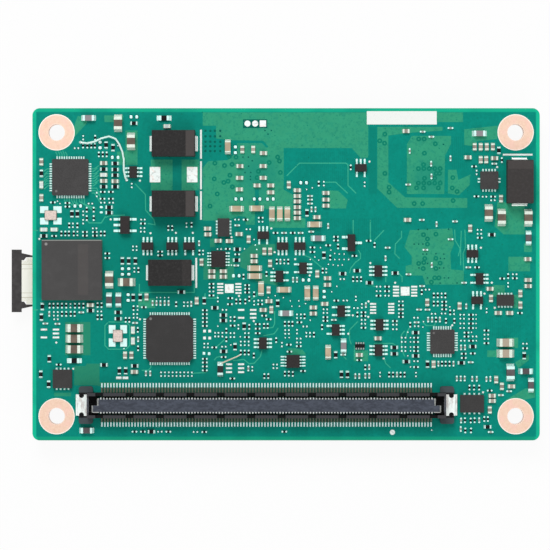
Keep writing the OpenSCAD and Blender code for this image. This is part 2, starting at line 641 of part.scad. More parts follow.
module fpc_slider()
    color([0.16, 0.16, 0.17])
        under()
            translate([edge_x, fpc_y * ky, 0]) {
                translate([-fpc_over - slider_gap - slider_d / 2, 0, 0]) {
                    slab(slider_d, slider_w, 0.25, fpc_h);
                    translate([-slider_d / 2 + 0.2, 0, 0])
                        slab(0.4, slider_w - 2, 0.25, fpc_h + 0.15);
                }
                translate([-fpc_over + 0.6 - slider_gap, 0, 0])
                    slab(
                        1.6, fpc_tongue_w - 0.6 - 2 * slider_gap,
                        slot_z + slider_gap, slot_z + slot_h - slider_gap
                    );
                for (m = [0, 1])
                    mirror([0, m, 0])
                        translate([0, 0, 0.25])
                            linear_extrude(0.7)
                                polygon([
                                    [-fpc_over - slider_gap - 0.1, fpc_w / 2 + 0.8],
                                    [-fpc_over - slider_gap - 0.1, fpc_tongue_w / 2 + slider_gap],
                                    [-fpc_over - slider_gap + 0.4, fpc_tongue_w / 2 + slider_gap],
                                    [-fpc_over + 0.75 - slider_gap, fpc_w / 2 + slider_gap],
                                    [1.4, fpc_w / 2 + slider_gap],
                                    [1.4, fpc_w / 2 + slider_gap + 0.28],
                                    [-0.2, fpc_w / 2 + slider_gap + 0.3]
                                ]);
            }

module fpc_contacts()
    color([0.85, 0.8, 0.62])
        under()
            translate([edge_x + 2.8, fpc_y * ky, 0])
                for (y = line(fpc_n, fpc_pitch))
                    translate([0, y - 0.1, 0])
                        cube([0.9, 0.2, lead_t]);

module fpc_hold_downs()
    color([0.85, 0.86, 0.87])
        under()
            translate([edge_x, fpc_y * ky, 0])
                for (m = [0, 1])
                    mirror([0, m, 0])
                        translate([2.6, fpc_w / 2, 0])
                            rotate([0, -90, 0])
                                linear_extrude(0.9)
                                    polygon([
                                        [0, 0], [0.8, 0], [0.8, 0.15], [0.2, 0.15], [0.12, 0.75], [0, 0.75]
                                    ]);

controller_at = [-35.43, 0.71];
module controller_balls()
    color([0.8, 0.8, 0.8]) {
        n = floor((controller_w - 0.6) / controller_pitch);
        at(controller_at)
            for (x = line(n, controller_pitch), y = line(n, controller_pitch))
                translate([x, y, 0])
                    cylinder(h = 0.25, d = 0.42, $fn = 16);
    }

module controller_substrate()
    color([0.2, 0.38, 0.3])
        at(controller_at)
            slab(controller_w, controller_w, 0.25, 0.6);

module controller_mould()
    color([0.27, 0.26, 0.26])
        at(controller_at)
            translate([0, 0, 0.6])
                linear_extrude(controller_mould_t)
                    cut_square(controller_w - 0.1, 0.12);

module qfn_body(w, c, h)
    translate([0, 0, seat])
        linear_extrude(h - seat)
            cut_square(w, c);

qfn48_at = [-35.7, 16.05];
qfn68_at = [-19.27, -10.65];
qfn32_at = [25.85, -11.15];
qfn20_at = [33.6, 15.55];
module qfn48_body()
    color([0.28, 0.27, 0.27])
        at(qfn48_at)
            qfn_body(6, 0.15, 0.85);

module qfn68_body()
    color([0.27, 0.26, 0.26])
        at(qfn68_at)
            qfn_body(7.8, 0.75, 0.9);

module qfn32_body()
    color([0.28, 0.27, 0.27])
        at(qfn32_at)
            qfn_body(4, 0.15, 0.85);

module qfn20_body()
    color([0.28, 0.27, 0.26])
        at(qfn20_at)
            qfn_body(2.95, 0.1, 0.85);

// Two-row leadless packages: centre, turn, width across the rows, length, pads a row, pitch
duals = [
    [-10.35, 7.75, 0, 1.95, 3, 5, 0.5],
    [36.25, -4.3, 90, 1.85, 2.8, 5, 0.52],
    [-37, -17.3, 90, 3.05, 3.15, 4, 0.65],
    [30.75, -21.4, 90, 2.9, 3.9, 4, 0.8]
];
module dfn_bodies()
    color([0.25, 0.23, 0.23])
        for (d = duals)
            at(d, d[2])
                slab(d[3], d[4], seat, 0.8);

module leadless_pads()
    color([0.84, 0.85, 0.85]) {
        at(qfn48_at)
            quad_pads(12, 0.4, 6, 0.45, 0.22);
        at(qfn68_at)
            quad_pads(17, 0.4, 7.8, 0.45, 0.22);
        at(qfn32_at)
            quad_pads(8, 0.4, 4, 0.55, 0.22);
        at(qfn20_at) {
            side_pads(2, 0.5, 2.95, 0.4, 0.25);
            rotate(90)
                side_pads(5, 0.5, 2.95, 0.4, 0.25);
        }
        for (d = duals)
            at(d, d[2])
                side_pads(d[5], d[6], d[3], 0.3, 0.3);
    }

// Small-outline packages with five or four leads a side
module msop_bodies()
    color([0.27, 0.24, 0.24]) {
        at([-11.2, 2.5])
            moulded(2.4, 2.7, 0.95, 0.1, 0.5);
        at([1.15, -14.4])
            moulded(2.2, 2.1, 0.95, 0.1, 0.5);
    }

module msop_leads()
    color([0.84, 0.85, 0.85]) {
        at([-11.2, 2.5])
            both()
                for (y = line(5, 0.5))
                    translate([0, y, 0])
                        gull(1.2, 1.85, 0.5, 0.22);
        at([1.15, -14.4])
            both()
                for (y = line(4, 0.5))
                    translate([0, y, 0])
                        gull(1.1, 2.05, 0.5, 0.22);
    }

module sot_bodies()
    color([0.24, 0.21, 0.21]) {
        for (p = concat(sot_six, sot_five))
            at(p, p[2])
                moulded(sot[0], sot[1], sot[2], 0.1, 0.45);
        at([-26.65, 8.15])
            moulded(1.6, 2.9, 1.1, 0.1, 0.55);
        at([10.8, 5.2])
            moulded(1.3, 2.8, 1, 0.1, 0.5);
    }

module sot_leads()
    color([0.84, 0.85, 0.85]) {
        for (p = concat(sot_six, sot_five))
            at(p, p[2])
                for (y = line(3, sot_lead[2]))
                    translate([0, y, 0])
                        mirror([1, 0, 0])
                            gull(sot[0] / 2, sot_lead[0], 0.45, sot_lead[1]);
        for (p = sot_six)
            at(p, p[2])
                for (y = line(3, sot_lead[2]))
                    translate([0, y, 0])
                        gull(sot[0] / 2, sot_lead[0], 0.45, sot_lead[1]);
        for (p = sot_five)
            at(p, p[2])
                for (y = line(2, 2 * sot_lead[2]))
                    translate([0, y, 0])
                        gull(sot[0] / 2, sot_lead[0], 0.45, sot_lead[1]);
        at([-26.65, 8.15]) {
            for (y = [-0.95, 0.95])
                translate([0, y, 0])
                    both()
                        gull(0.8, 1.9, 0.55, 0.4);
            mirror([1, 0, 0])
                gull(0.8, 1.9, 0.55, 0.4);
        }
        at([10.8, 5.2]) {
            for (y = [-0.95, 0.95])
                translate([0, y, 0])
                    mirror([1, 0, 0])
                        gull(0.65, 1.55, 0.5, 0.4);
            gull(0.65, 1.75, 0.5, 0.4);
        }
    }

module tantalum_bodies()
    color([0.24, 0.22, 0.22])
        for (p = tants)
            at(p, p[2])
                moulded(tant_l, tant_w, tant_h, 0.1, tant_h / 2);

module tantalum_terminals()
    color([0.85, 0.86, 0.86])
        for (p = tants)
            at(p, p[2])
                both()
                    along_y(tant_end_w)
                        polygon([
                            [tant_l / 2 - 0.08, 0],
                            [tant_l / 2 - 0.08, 0.1],
                            [tant_l / 2, tant_h / 2 - 0.08],
                            [tant_l / 2, tant_h / 2 + 0.06],
                            [tant_l / 2 + 0.13, tant_h / 2 + 0.06],
                            [tant_l / 2 + 0.13, 0.3],
                            [tant_l / 2 + 0.25, 0.14],
                            [tant_l / 2 + 0.38, 0.1],
                            [tant_l / 2 + 0.38, 0]
                        ]);

module crystal_bases()
    color([0.5, 0.47, 0.45])
        for (p = crystals)
            at(p, p[2])
                slab(2, 1.6, copper_t, 0.4);

module crystal_lids()
    color([0.85, 0.8, 0.78])
        for (p = crystals)
            at(p, p[2])
                translate([0, 0, 0.4])
                    linear_extrude(0.25)
                        rounded(1.85, 1.45, 0.2);

module crystal_lands()
    color([0.93, 0.94, 0.93])
        for (p = crystals)
            at(p, p[2])
                for (x = [-1, 1], y = [-1, 1])
                    translate([x * 1.1, y * 0.95, 0])
                        slab(1.35, 1.1, 0, copper_t);

module capacitor_bodies_0805()
    color([0.62, 0.5, 0.42])
        spread(c0805_h, c0805_v)
            chip_body(s0805, 0.5);

module capacitor_bodies_0603()
    color([0.8, 0.68, 0.56])
        spread(c0603_h, c0603_v)
            chip_body(s0603, 0.2);

module capacitor_bodies_0402()
    color([0.74, 0.64, 0.56])
        spread(c0402_h, c0402_v)
            chip_body(s0402, 0.25);

module capacitor_terminals()
    color([0.9, 0.9, 0.88]) {
        spread(c0805_h, c0805_v)
            chip_ends(s0805, 0.5, 1.45);
        spread(c0603_h, c0603_v)
            chip_ends(s0603, 0.2, 1.22);
    }

module capacitor_terminals_0402()
    color([0.9, 0.9, 0.88])
        spread(c0402_h, c0402_v)
            chip_ends(s0402, 0.25, 0.66);

module resistor_bodies()
    color([0.08, 0.08, 0.08]) {
        spread(r0402_h, r0402_v)
            chip_body(r0402, 0.15);
        spread(r0603_h, [])
            chip_body(r0603, 0.35);
    }

module resistor_terminals()
    color([0.9, 0.91, 0.9]) {
        spread(r0402_h, r0402_v)
            chip_ends(r0402, 0.15, 0.64);
        spread(r0603_h, [])
            chip_ends(r0603, 0.35, 1.22);
    }

// Smallest chips: a sliver of body between two round solder mounds
module dot_body(w, h)
    slab(dot_pitch - dot_d - 2 * dot_gap, w, 0, h);

module dot_ends(h)
    both()
        translate([dot_pitch / 2, 0, 0])
            cylinder(h = h, d = dot_d, $fn = 16);

module resistor_bodies_0201()
    color([0.08, 0.08, 0.08])
        spread(r0201_h, r0201_v)
            dot_body(0.36, 0.27);

module capacitor_bodies_0201()
    color([0.85, 0.82, 0.77])
        spread(c0201_h, c0201_v)
            dot_body(0.34, 0.33);

module terminals_0201()
    color([0.9, 0.91, 0.9]) {
        spread(r0201_h, r0201_v)
            dot_ends(dot_r_h);
        spread(c0201_h, c0201_v)
            dot_ends(0.28);
    }

array_at = [12.2, -11.85];
module array_body()
    color([0.16, 0.15, 0.15])
        at(array_at)
            slab(1.6, 0.6, seat, 0.42);

module array_terminals()
    color([0.9, 0.91, 0.9])
        at(array_at)
            for (x = line(4, 0.4), m = [0, 1])
                mirror([0, m, 0])
                    translate([x, 0.45, 0])
                        slab(0.22, 0.3, 0, 0.36);

module bead_bodies()
    color([0.45, 0.42, 0.43]) {
        spread(bead_h, bead_v)
            chip_body(s0603, 0.35);
        spread([], bead_large_v)
            chip_body(s0805, 0.5);
    }

module bead_terminals()
    color([0.9, 0.9, 0.89]) {
        spread(bead_h, bead_v)
            chip_ends(s0603, 0.35, 1.22);
        spread([], bead_large_v)
            chip_ends(s0805, 0.5, 1.45);
    }

// Solder joint from the part or land below up to a wire's end
module joint(p, base, d)
    at(p)
        translate([0, 0, base])
            cylinder(h = p[2] - base, d1 = d, d2 = 0.75 * d, $fn = 16);

module rework_wires()
    color([0.78, 0.9, 0.84]) {
        wire(spread_route(wire_a), 0.16);
        wire(spread_route(wire_b), 0.11);
        for (p = [wire_a[0], wire_a[len(wire_a) - 1]])
            joint(p, 0, 0.5);
        joint(wire_b[0], s0603[2], 0.34);
        joint(wire_b[len(wire_b) - 1], dot_r_h, 0.26);
    }

// Processor side, hidden in the photograph
cpu_at = [2, 0.5];
module cpu_balls()
    color([0.8, 0.8, 0.8])
        under()
            at(cpu_at) {
                nx = floor((cpu_w - 1) / 1);
                ny = floor((cpu_d - 1) / 1);
                for (x = line(nx, 1), y = [-1, 1])
                    translate([x, y * (ny - 1) / 2, 0])
                        cylinder(h = 0.3, d = 0.5, $fn = 16);
                for (y = line(ny - 2, 1), x = [-1, 1])
                    translate([x * (nx - 1) / 2, y, 0])
                        cylinder(h = 0.3, d = 0.5, $fn = 16);
            }

module cpu_substrate()
    color([0.16, 0.4, 0.28])
        under()
            at(cpu_at)
                slab(cpu_w, cpu_d, 0.3, 0.3 + cpu_t);

module cpu_die()
    color([0.5, 0.52, 0.56])
        under()
            at(cpu_at)
                slab(die_w, die_d, 0.3 + cpu_t, 0.3 + cpu_t + 0.7);

module memory_packages()
    color([0.16, 0.16, 0.17])
        under()
            for (p = memories)
                at([p[0], cpu_at[1]])
                    translate([0, p[1] * (mem_d + mem_gap) / 2, 0])
                        slab(mem_w, mem_d, 0, 1);

storage_at = [-27, -21];
storage = [13, 9.5, 0.95];
module storage_package()
    color([0.16, 0.16, 0.17])
        under()
            at(storage_at)
                slab(storage[0], storage[1], 0, storage[2]);

network_at = [-35.5, 16];
manager_at = [5.5, 19];
module network_body()
    color([0.2, 0.2, 0.21])
        under()
            at(network_at)
                qfn_body(5, 0.15, 0.85);

module power_manager_body()
    color([0.2, 0.2, 0.21])
        under()
            at(manager_at)
                qfn_body(6, 0.2, 0.85);

module back_pads()
    color([0.84, 0.85, 0.85])
        under() {
            at(network_at)
                quad_pads(8, 0.5, 5, 0.35, 0.25);
            at(manager_at)
                quad_pads(10, 0.5, 6, 0.35, 0.25);
        }

module choke_bodies()
    color([0.3, 0.3, 0.31])
        under()
            for (p = chokes)
                at(p)
                    translate([0, 0, 0.15])
                        linear_extrude(choke_h - 0.15)
                            cut_square(choke_w, 0.35);

module choke_terminals()
    color([0.82, 0.82, 0.8])
        under()
            for (p = chokes)
                at(p)
                    both()
                        along_y(choke_w - 1.4)
                            polygon([
                                [choke_w / 2 - 0.9, 0],
                                [choke_w / 2 - 0.9, 0.15],
                                [choke_w / 2, 0.15],
                                [choke_w / 2, 1.1],
                                [choke_w / 2 + 0.12, 1.1],
                                [choke_w / 2 + 0.15, 0]
                            ]);

module back_capacitor_bodies()
    color([0.62, 0.5, 0.42])
        under()
            spread([], back_caps)
                chip_body(s0805, 0.5);

module back_capacitor_terminals()
    color([0.9, 0.9, 0.88])
        under()
            spread([], back_caps)
                chip_ends(s0805, 0.5, 1.45);

board();
screw_lands();
open_lands();
connector_housing();
connector_contacts();
connector_hold_downs();
fpc_housing();
fpc_slider();
fpc_contacts();
fpc_hold_downs();
controller_balls();
controller_substrate();
controller_mould();
qfn48_body();
qfn68_body();
qfn32_body();
qfn20_body();
dfn_bodies();
leadless_pads();
msop_bodies();
msop_leads();
sot_bodies();
sot_leads();
tantalum_bodies();
tantalum_terminals();
crystal_bases();
crystal_lids();
crystal_lands();
capacitor_bodies_0805();
capacitor_bodies_0603();
capacitor_bodies_0402();
capacitor_terminals();
capacitor_terminals_0402();
resistor_bodies();
resistor_terminals();
resistor_bodies_0201();
capacitor_bodies_0201();
terminals_0201();
array_body();
array_terminals();
bead_bodies();
bead_terminals();
rework_wires();
cpu_balls();
cpu_substrate();
cpu_die();
memory_packages();
storage_package();
network_body();
power_manager_body();
back_pads();
choke_bodies();
choke_terminals();
back_capacitor_bodies();
back_capacitor_terminals();
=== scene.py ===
"""Dresses a small computer module: solder mask, covered copper, print, solder and the finish of every part.

Lengths in the tables are millimetres in the frame of the CAD model: the origin is the centre of the
four mounting holes on the connector-side face, +X along the board, +Z out of that face.
"""

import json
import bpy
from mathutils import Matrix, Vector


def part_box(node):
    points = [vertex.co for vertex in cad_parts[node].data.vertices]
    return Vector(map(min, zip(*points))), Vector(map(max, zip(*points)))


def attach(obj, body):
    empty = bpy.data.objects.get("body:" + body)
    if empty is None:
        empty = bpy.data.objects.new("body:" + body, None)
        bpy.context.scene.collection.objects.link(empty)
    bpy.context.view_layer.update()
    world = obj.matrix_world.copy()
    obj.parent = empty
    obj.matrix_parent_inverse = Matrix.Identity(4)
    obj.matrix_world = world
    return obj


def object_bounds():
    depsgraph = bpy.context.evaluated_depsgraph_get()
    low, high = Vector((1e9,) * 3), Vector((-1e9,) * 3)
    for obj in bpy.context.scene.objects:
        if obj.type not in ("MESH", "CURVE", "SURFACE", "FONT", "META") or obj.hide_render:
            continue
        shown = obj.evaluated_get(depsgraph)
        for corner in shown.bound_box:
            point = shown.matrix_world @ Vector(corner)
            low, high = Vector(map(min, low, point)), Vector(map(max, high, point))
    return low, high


bl_info = {
    "name": "Computer module dressing",
    "version": (1, 1, 0),
    "blender": (4, 5, 0),
    "location": "3D View > Sidebar > Module",
    "description": "Materials, copper, print and stage for a small computer module",
    "category": "Object",
}

from functools import reduce

import bmesh
import bpy
import numpy as np
from bpy.props import FloatProperty, FloatVectorProperty, PointerProperty
from mathutils import Vector

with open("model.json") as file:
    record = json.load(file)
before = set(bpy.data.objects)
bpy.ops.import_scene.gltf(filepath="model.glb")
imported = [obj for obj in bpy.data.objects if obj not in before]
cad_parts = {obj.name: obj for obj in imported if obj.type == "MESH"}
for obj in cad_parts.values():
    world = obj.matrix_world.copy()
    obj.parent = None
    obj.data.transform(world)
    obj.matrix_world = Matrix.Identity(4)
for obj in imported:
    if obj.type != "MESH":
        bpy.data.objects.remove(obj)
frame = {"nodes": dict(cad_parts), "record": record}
CAD_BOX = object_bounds()
MM = 0.001
# Specular level of surfaces that look satin under an even white sky
SATIN = 0.07

# Thin layers on the board's face, in millimetres: heights, and the steps that keep copies out of one plane
POUR_LIFT = 0.008
POUR_STEP = 0.0002
FAR_POUR_LIFT = 0.012
TRACE_LIFT = 0.016
TRACE_STEP = 0.0003
TRACE_LEVELS = 7
RING_LIFT = 0.02
RING_STEP = 0.0006
VIA_LIFT = 0.024
INK_LIFT = 0.024
INK_DOT_LIFT = 0.026
OPENING_LIFT = 0.012
TIN_LIFT = 0.05
TIN_DOT_LIFT = 0.04
# Widths of the traces on each face, of printed lines and of corner marks
TRACE_WIDTH = 0.17
BUS_WIDTH = 0.2
INK_WIDTH = 0.3
MARK_WIDTH = 0.16
# Radii of the vias in the field, on the far face and in the scatter, and of the rings, with their width
FIELD_VIA = 0.21
FAR_VIA = 0.17
FINE_VIA = 0.1
RING_RADIUS = 0.28
RING_WIDTH = 0.3
# Half the spacing of a pair of lands
PAIR_HALF = 0.3
WIDE_HALF = 0.47
# Screw lands: radius, and where the bright rings at the hole and at the rim fade
SCREW_LAND = 3
HOLE_RING = (1.42, 1.5)
LAND_RING = (2.82, 2.92)
# Heights where a contact's foot gives way to its run, and the run to its tip
FOOT_TOP = (0.13, 0.2)
TIP_START = (2.6, 2.9)
# Pitch of the inner lines and of the copper layers, and the heights where the board's near half begins
LINE_PITCH = 0.33
LAYER_PITCH = 0.25
NEAR_HALF = (-1.2, -0.8)
# Strip behind the connector's feet, measured inwards from their ends: laminate darkened by painted shade
FEET_INNER = 1.9
FEET_OUTER = 0.75
# Even scatter of the finest vias: number, then step, span, start and clear corners along X and Y
SCATTER_COUNT = 330
SCATTER_STEP = (0.754878, 0.569840)
SCATTER_SPAN = (80, 43)
SCATTER_START = (-40, -16)
SCATTER_CLEAR = (34, 19.5)
# Polarity band of a large capacitor: half its length, and where it starts and ends off the middle
BAND_HALF = 2.1
BAND_FROM = 2.05
BAND_TO = 3.45
# Camera in millimetres; floor and lamps in metres, a lamp as name, place, size and share of the key light
LENS = 200
SENSOR = 36
FLOOR_HALF = 1.2
FLOOR_GAP = 0.00002
FLOOR_GLOW = 0.93
LAMPS = [
    ("key_lamp", (-0.12, 0.45, 0.6), 0.35, 1.0),
    ("fill_lamp", (0.2, -0.45, 0.5), 0.5, 0.4),
]


def srgb(red, green, blue):
    """Linear colour from display values of 0 to 255."""
    c = np.array([red, green, blue]) / 255
    return tuple(np.where(c <= 0.04045, c / 12.92, ((c + 0.055) / 1.055) ** 2.4).tolist())


def colour(name, text, red, green, blue):
    return FloatVectorProperty(
        name=name, description=text, subtype="COLOR", size=3, min=0, max=1, default=srgb(red, green, blue)
    )


def length(name, text, millimetres):
    return FloatProperty(name=name, description=text, unit="LENGTH", default=millimetres * MM)


def box_mm(node):
    """Lowest and highest corner of a CAD node in millimetres."""
    low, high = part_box(node)
    return np.array(low) / MM, np.array(high) / MM


# Empty lands read off the photograph, in millimetres: _H pairs lie along X, _V pairs along Y
BARE_PAIRS_V = [
    (-33.6, 22.6), (-25.55, 14.7), (6.25, 15), (13, 14.9), (31.55, 16.85), (-33.6, 10.1), (-33.6, 8.7),
    (-35.3, 8.1), (-34.55, 6.75), (-31.35, 13.2), (-16.5, 8.15), (-13.75, 3.6), (-0.3, 2.1),
    (-35.7, -5.2), (-38.45, -6.55), (-37.8, -6.55), (-25.12, 0.72), (-24.6, -5.6), (-5.3, -4.75),
    (-11.3, -4.2), (-9.2, -7.4), (-7.9, -8.7), (-11.75, -10), (-11.2, -10), (-10.55, -10),
    (-7.5, -11.45), (-6.85, -11.45), (-6.2, -11.45), (6.65, 0.6), (1.8, -6.95), (2.45, -6.95),
    (-0.15, -9.55), (0.45, -9.55), (1.8, -9.5), (3.35, -10), (3.95, -10), (-0.7, -11.65), (11.55, -4),
    (12.55, -5.25), (25.75, -3.5), (27.8, -6.3), (33.2, -6), (36.75, -1.75), (-5.6, -15.65),
    (15.55, -16.6), (21.5, -16.6),
    *[(x, -16.55) for x in np.linspace(-20.7, -15.6, 9)],
]
BARE_PAIRS_H = [
    (-34.7, 20.87), (-32.4, 11.7), (-31.7, 7.6), (-30.35, 11.85), (-28.95, 11.85), (-23.7, 9.05),
    (-23.75, 7.65), (-23.75, 7.05), (-25.05, 4.6), (-25.05, 4), (-8.15, 9.05), (-6.25, 7.45),
    (-11.05, 4.15), (-4.2, 8.7), (32, 7.35), (32, 6.7), (32.85, 12.85), (34.25, 12.25), (-38.1, -7.45),
    (-30.9, -6.15), (-16.6, -4.65), (-16.6, -5.25), (-24.95, -6.6), (-24.95, -7.2), (-12.35, -2.85),
    (-4.3, -4.35), (-10.2, -5.9), (-8.9, -9.75), (-8.9, -10.4), (-6.5, -9.75), (-13.25, -11.5),
    (-13.25, -12.1), (-10.3, -12), (9.3, -0.8), (6.5, -5.8), (6.5, -6.4), (9.8, -4.35), (3.15, -8.65),
    (2.1, -10.65), (2.1, -11.3), (15.3, -2.05), (15.3, -2.8), (16.7, -3.55), (23.4, -2.55),
    (11.55, -5.6), (12.8, -7.55), (12.8, -8.2), (19, -4.5), (18, -8.35), (18, -9.1), (21.5, -7.2),
    (21.6, -8.6), (19.45, -10.5), (19.45, -11.2), (19.45, -12.05), (19.45, -12.7), (26.05, -6.5),
    (24.4, -6.55), (29.15, -6.7), (29.15, -7.35), (29.15, -8.15), (29.15, -8.9), (31.2, -10.3),
    (29.25, -11), (33.15, -10), (33.15, -10.7), (37.85, 0), (39.55, -11.5), (-20.9, -26.05),
    (-15, -26.1), (-1.8, -14.95), (-1.8, -15.55), (21.5, -14.4),
]
BARE_WIDE_V = [
    (-30.8, 21.4), (-8.4, 20.6), (-27.1, 0.45), (-26.05, 0.45), (-26.15, -3.85), (6.3, -3.3),
]
BARE_WIDE_H = [
    (-25.2, 26.05), (-28.3, 19.35), (2.9, 15.15), (-34.5, 11.3), (-7.85, 12.45), (-4.8, 12.45),
    (-2.6, 12.45), (-8.25, -0.25), (3.3, -0.95),
]
TINNED_DOTS = [
    (-27.85, 21.3), (4.35, 14.3), (3.4, 14.05), (-37.85, 12.1), (-37.45, 11.7), (-5.3, 5.75),
    (-5.1, 4.85), (-4.85, 4.1), (-6.9, 4.2), (-9.05, 1.5), (7.4, 4), (8.05, 3.45), (8.8, 3.35),
    (9.6, 3.35), (8.05, 2.45), (8.8, 2.45), (9.6, 2.45), (10.35, 2.45), (7, 1.65), (7.8, 1.55),
    (8.6, 1.45), (9.3, 1.55), (4.75, 2.85), (4, 2.45), (5.4, 2.35), (5.7, 4.4), (22.75, 4.05),
    (-21.4, -3.85), (-20.8, -3.85), (-20.1, -3.85), (-19.45, -3.85), (-11.3, -8.6), (-7.6, -10.35),
    (-9.15, -11.7), (-2.1, 0.9), (-1.8, -3.55), (-2.95, -3.85), (-0.45, -3.85), (0.7, -4.4),
    (2.1, -4.4), (3.2, -4.85), (0.95, -5.3), (2.2, -5.3), (8.4, -2), (7.55, -2.9), (4, -7.6),
    (-0.15, -10.5), (0.5, -10.5), (8.25, -12.95), (22.75, -7.85), (22.65, -8.75), (20.15, -9.6),
    (20.6, -10.5), (20.6, -11.2), (20.6, -12.05), (20.6, -12.7), (20.15, -13.5), (20.6, -15.35),
    (27.1, -5.4), (31.45, -6.7), (31.45, -7.4), (31.45, -8.15), (31.45, -8.9), (30.7, -9.6),
    (31.5, -11), (-26.85, -12.3), (24.1, -25.8),
]
SQUARE_LANDS = [(-13.6, -13.1), (-12.75, -13.15)]
FLAT_LANDS = [(-30.6, 11.1), (-30.6, 10.25)]
# White print: dots at the parts' first corners, lines and one blank plate
CORNER_DOTS = [
    (-24.2, 15.5), (13.8, 18.65), (34.95, 17.75), (-40.85, 5.85), (-29.05, 9.1), (-22.45, 6.8),
    (-18.25, 6.85), (-15.45, 6.85), (-9.05, 6.15), (-2.45, 7.6), (-1.9, 3.65), (1.5, 2.5),
    (13.95, 1.85), (32.25, 4.4), (-38.05, -11.3), (-24.2, -7.45), (-7.8, -3.6), (-5.35, -7.75),
    (3.9, -0.2), (11.05, -6.8), (10.3, -9.85), (18.05, -1.4), (13.65, -4.5), (13.6, -7.05),
    (27.5, -8.45), (34.05, -1.4), (32.85, -3.2), (34.55, -5.55), (-35.25, -15.65), (16.15, -13.95),
    (32.6, -19.55),
]
LEGEND_LINES = [
    [(-14.1, 23.93), (-14.1, 19.14)],
    [(-14.1, 18.7), (-14.1, 14.06)],
    [(-14.1, 13.76), (-14.1, 9.04)],
    [(-14.88, 2.7), (-14.88, -2.24)],
    [(35.9, 19.8), (40.8, 19.8)],
]
LEGEND_PLATE = [(13.35, 24.8), (24.95, 24.8), (24.95, 27), (13.35, 27)]


def block(x0, x1, y0, y1):
    """Corners of a rectangle."""
    return [(x0, y0), (x1, y0), (x1, y1), (x0, y1)]


# Outlines of the wide copper under the mask
POURS = [
    block(-22.4, -18.8, 13.9, 19),
    block(-17.3, -14.4, 13.9, 19),
    [(-13.8, 8.9), (-10, 8.9), (-8, 9.6), (-8, 19.4), (-8.7, 19.8), (-9.7, 18.9), (-12.9, 18.7),
     (-13.8, 17.6)],
    [(-8.1, 21.7), (-8.1, 9.7), (-6.7, 9.5), (-6.7, 8.2), (-5.2, 8.2), (-5.2, 14.1), (-4.5, 14.1),
     (-4.5, 10.8), (-2.8, 10.8), (-2.8, 7.7), (3.2, 7.7), (3.2, 9.2), (1.1, 9.6), (1.1, 13.2),
     (-0.4, 14), (-0.4, 15.3), (-3.2, 15.3), (-3.2, 20.9), (-4, 21.7)],
    block(-3.25, -0.4, 15.2, 21),
    [(-13.8, 26.8), (-13.8, 24.6), (-11.6, 24.6), (-11.6, 22.5), (-9.1, 22.2), (-3.8, 22.1),
     (-3, 21.2), (-3, 20.9), (10.9, 20.9), (12.3, 19.3), (13.6, 19.3), (13.6, 24.5), (13.3, 26.8)],
    [(20.5, 7.3), (19.6, 4.5), (20.8, 3), (20.8, 1.6), (19.8, 1.4), (19.8, -0.2), (22.6, -0.2),
     (23.1, -1.7), (29.4, -1.7), (29.4, 0.6), (27.3, 0.8), (27.2, 3.5), (27.8, 5), (27.5, 7.6)],
    [(7.2, 10.9), (9.9, 10.9), (10.2, 12.3), (8.65, 13.8), (7.2, 13.9)],
    [(15.1, 24.4), (15.1, 14.2), (18.4, 11), (30, 11), (30, 12.6), (19.7, 12.7), (16.9, 15.2),
     (16.9, 23), (21, 23.5), (25.9, 23.8), (25.9, 24.4)],
    [(20, 21.5), (20.8, 22.9), (27.3, 22.9), (27.3, 21.6), (26.3, 19.6), (26.2, 13.3), (20, 13.3)],
    [(26.8, 17.3), (28.2, 17.3), (28.5, 15.6), (30.5, 16.5), (30.4, 14.8), (28.6, 13.1), (26.8, 13.4)],
    [(29.5, 24), (35, 24.6), (35, 22.4), (31.5, 22), (31.2, 21.2), (29.5, 21.4)],
    block(24.9, 29.3, 25.2, 26.8),
    block(35.1, 36.2, 10.3, 12),
    [(34.5, 8), (36, 6.6), (39.5, 6.6), (39.5, 11.5), (35, 12)],
    block(36.8, 40.4, 0.5, 2.9),
    block(39.4, 40.7, 3.7, 5.1),
    block(34.2, 36.2, -3.7, -1.8),
    block(37.6, 38.7, -5.6, -3.4),
    [(-34.5, 26.2), (-33, 26), (-33, 25), (-35, 22.8), (-35.5, 23.5)],
    block(-30.1, -27, 25.2, 26.3),
    [(-26.6, 23.8), (-24.6, 23.8), (-24.6, 18.1), (-28, 18.1), (-28, 20.3), (-26.6, 20.3)],
    block(-12.6, -11.8, 4.5, 5.9),
    block(-13.7, -8.6, -0.9, 2.7),
    [(-7.6, 3.4), (-5.5, 5), (-1.8, 5), (-1.8, 3.6), (-4.8, 3.2), (-4.8, 0.5), (-1.4, -0.8),
     (-1.4, -1.9), (-5, -1.2), (-6.2, 0.6), (-7.6, 1.2)],
    block(-24.5, -21.7, -5.6, -4),
    [(-36.6, -13.4), (-32.4, -13.4), (-32.4, -7.9), (-36.6, -7.9)],
    [(-35.1, -18.4), (-30.9, -18.4), (-30.9, -14.8), (-33, -14.8), (-33.2, -15.2), (-35.1, -15.2)],
    [(-38.4, -19.6), (-35.6, -19.6), (-35.6, -20.2), (-38.4, -20.2)],
    block(33.3, 36.5, -13.7, -12.6),
    block(36.5, 38.4, -12.2, -10.5),
    [(37.9, -14.6), (40.2, -13.2), (40.2, -14.2), (38.4, -15.6)],
    [(36.2, -20.9), (39.6, -18.9), (41.2, -18.9), (41.2, -20.4), (39, -20.9)],
    [(0.3, -13.3), (3.3, -13.3), (2.7, -12.5), (1.2, -12.2), (0.3, -12.3)],
    block(-31.2, -27.5, -18.5, -17.9),
    block(11.2, 13.6, -14.4, -12.6),
]
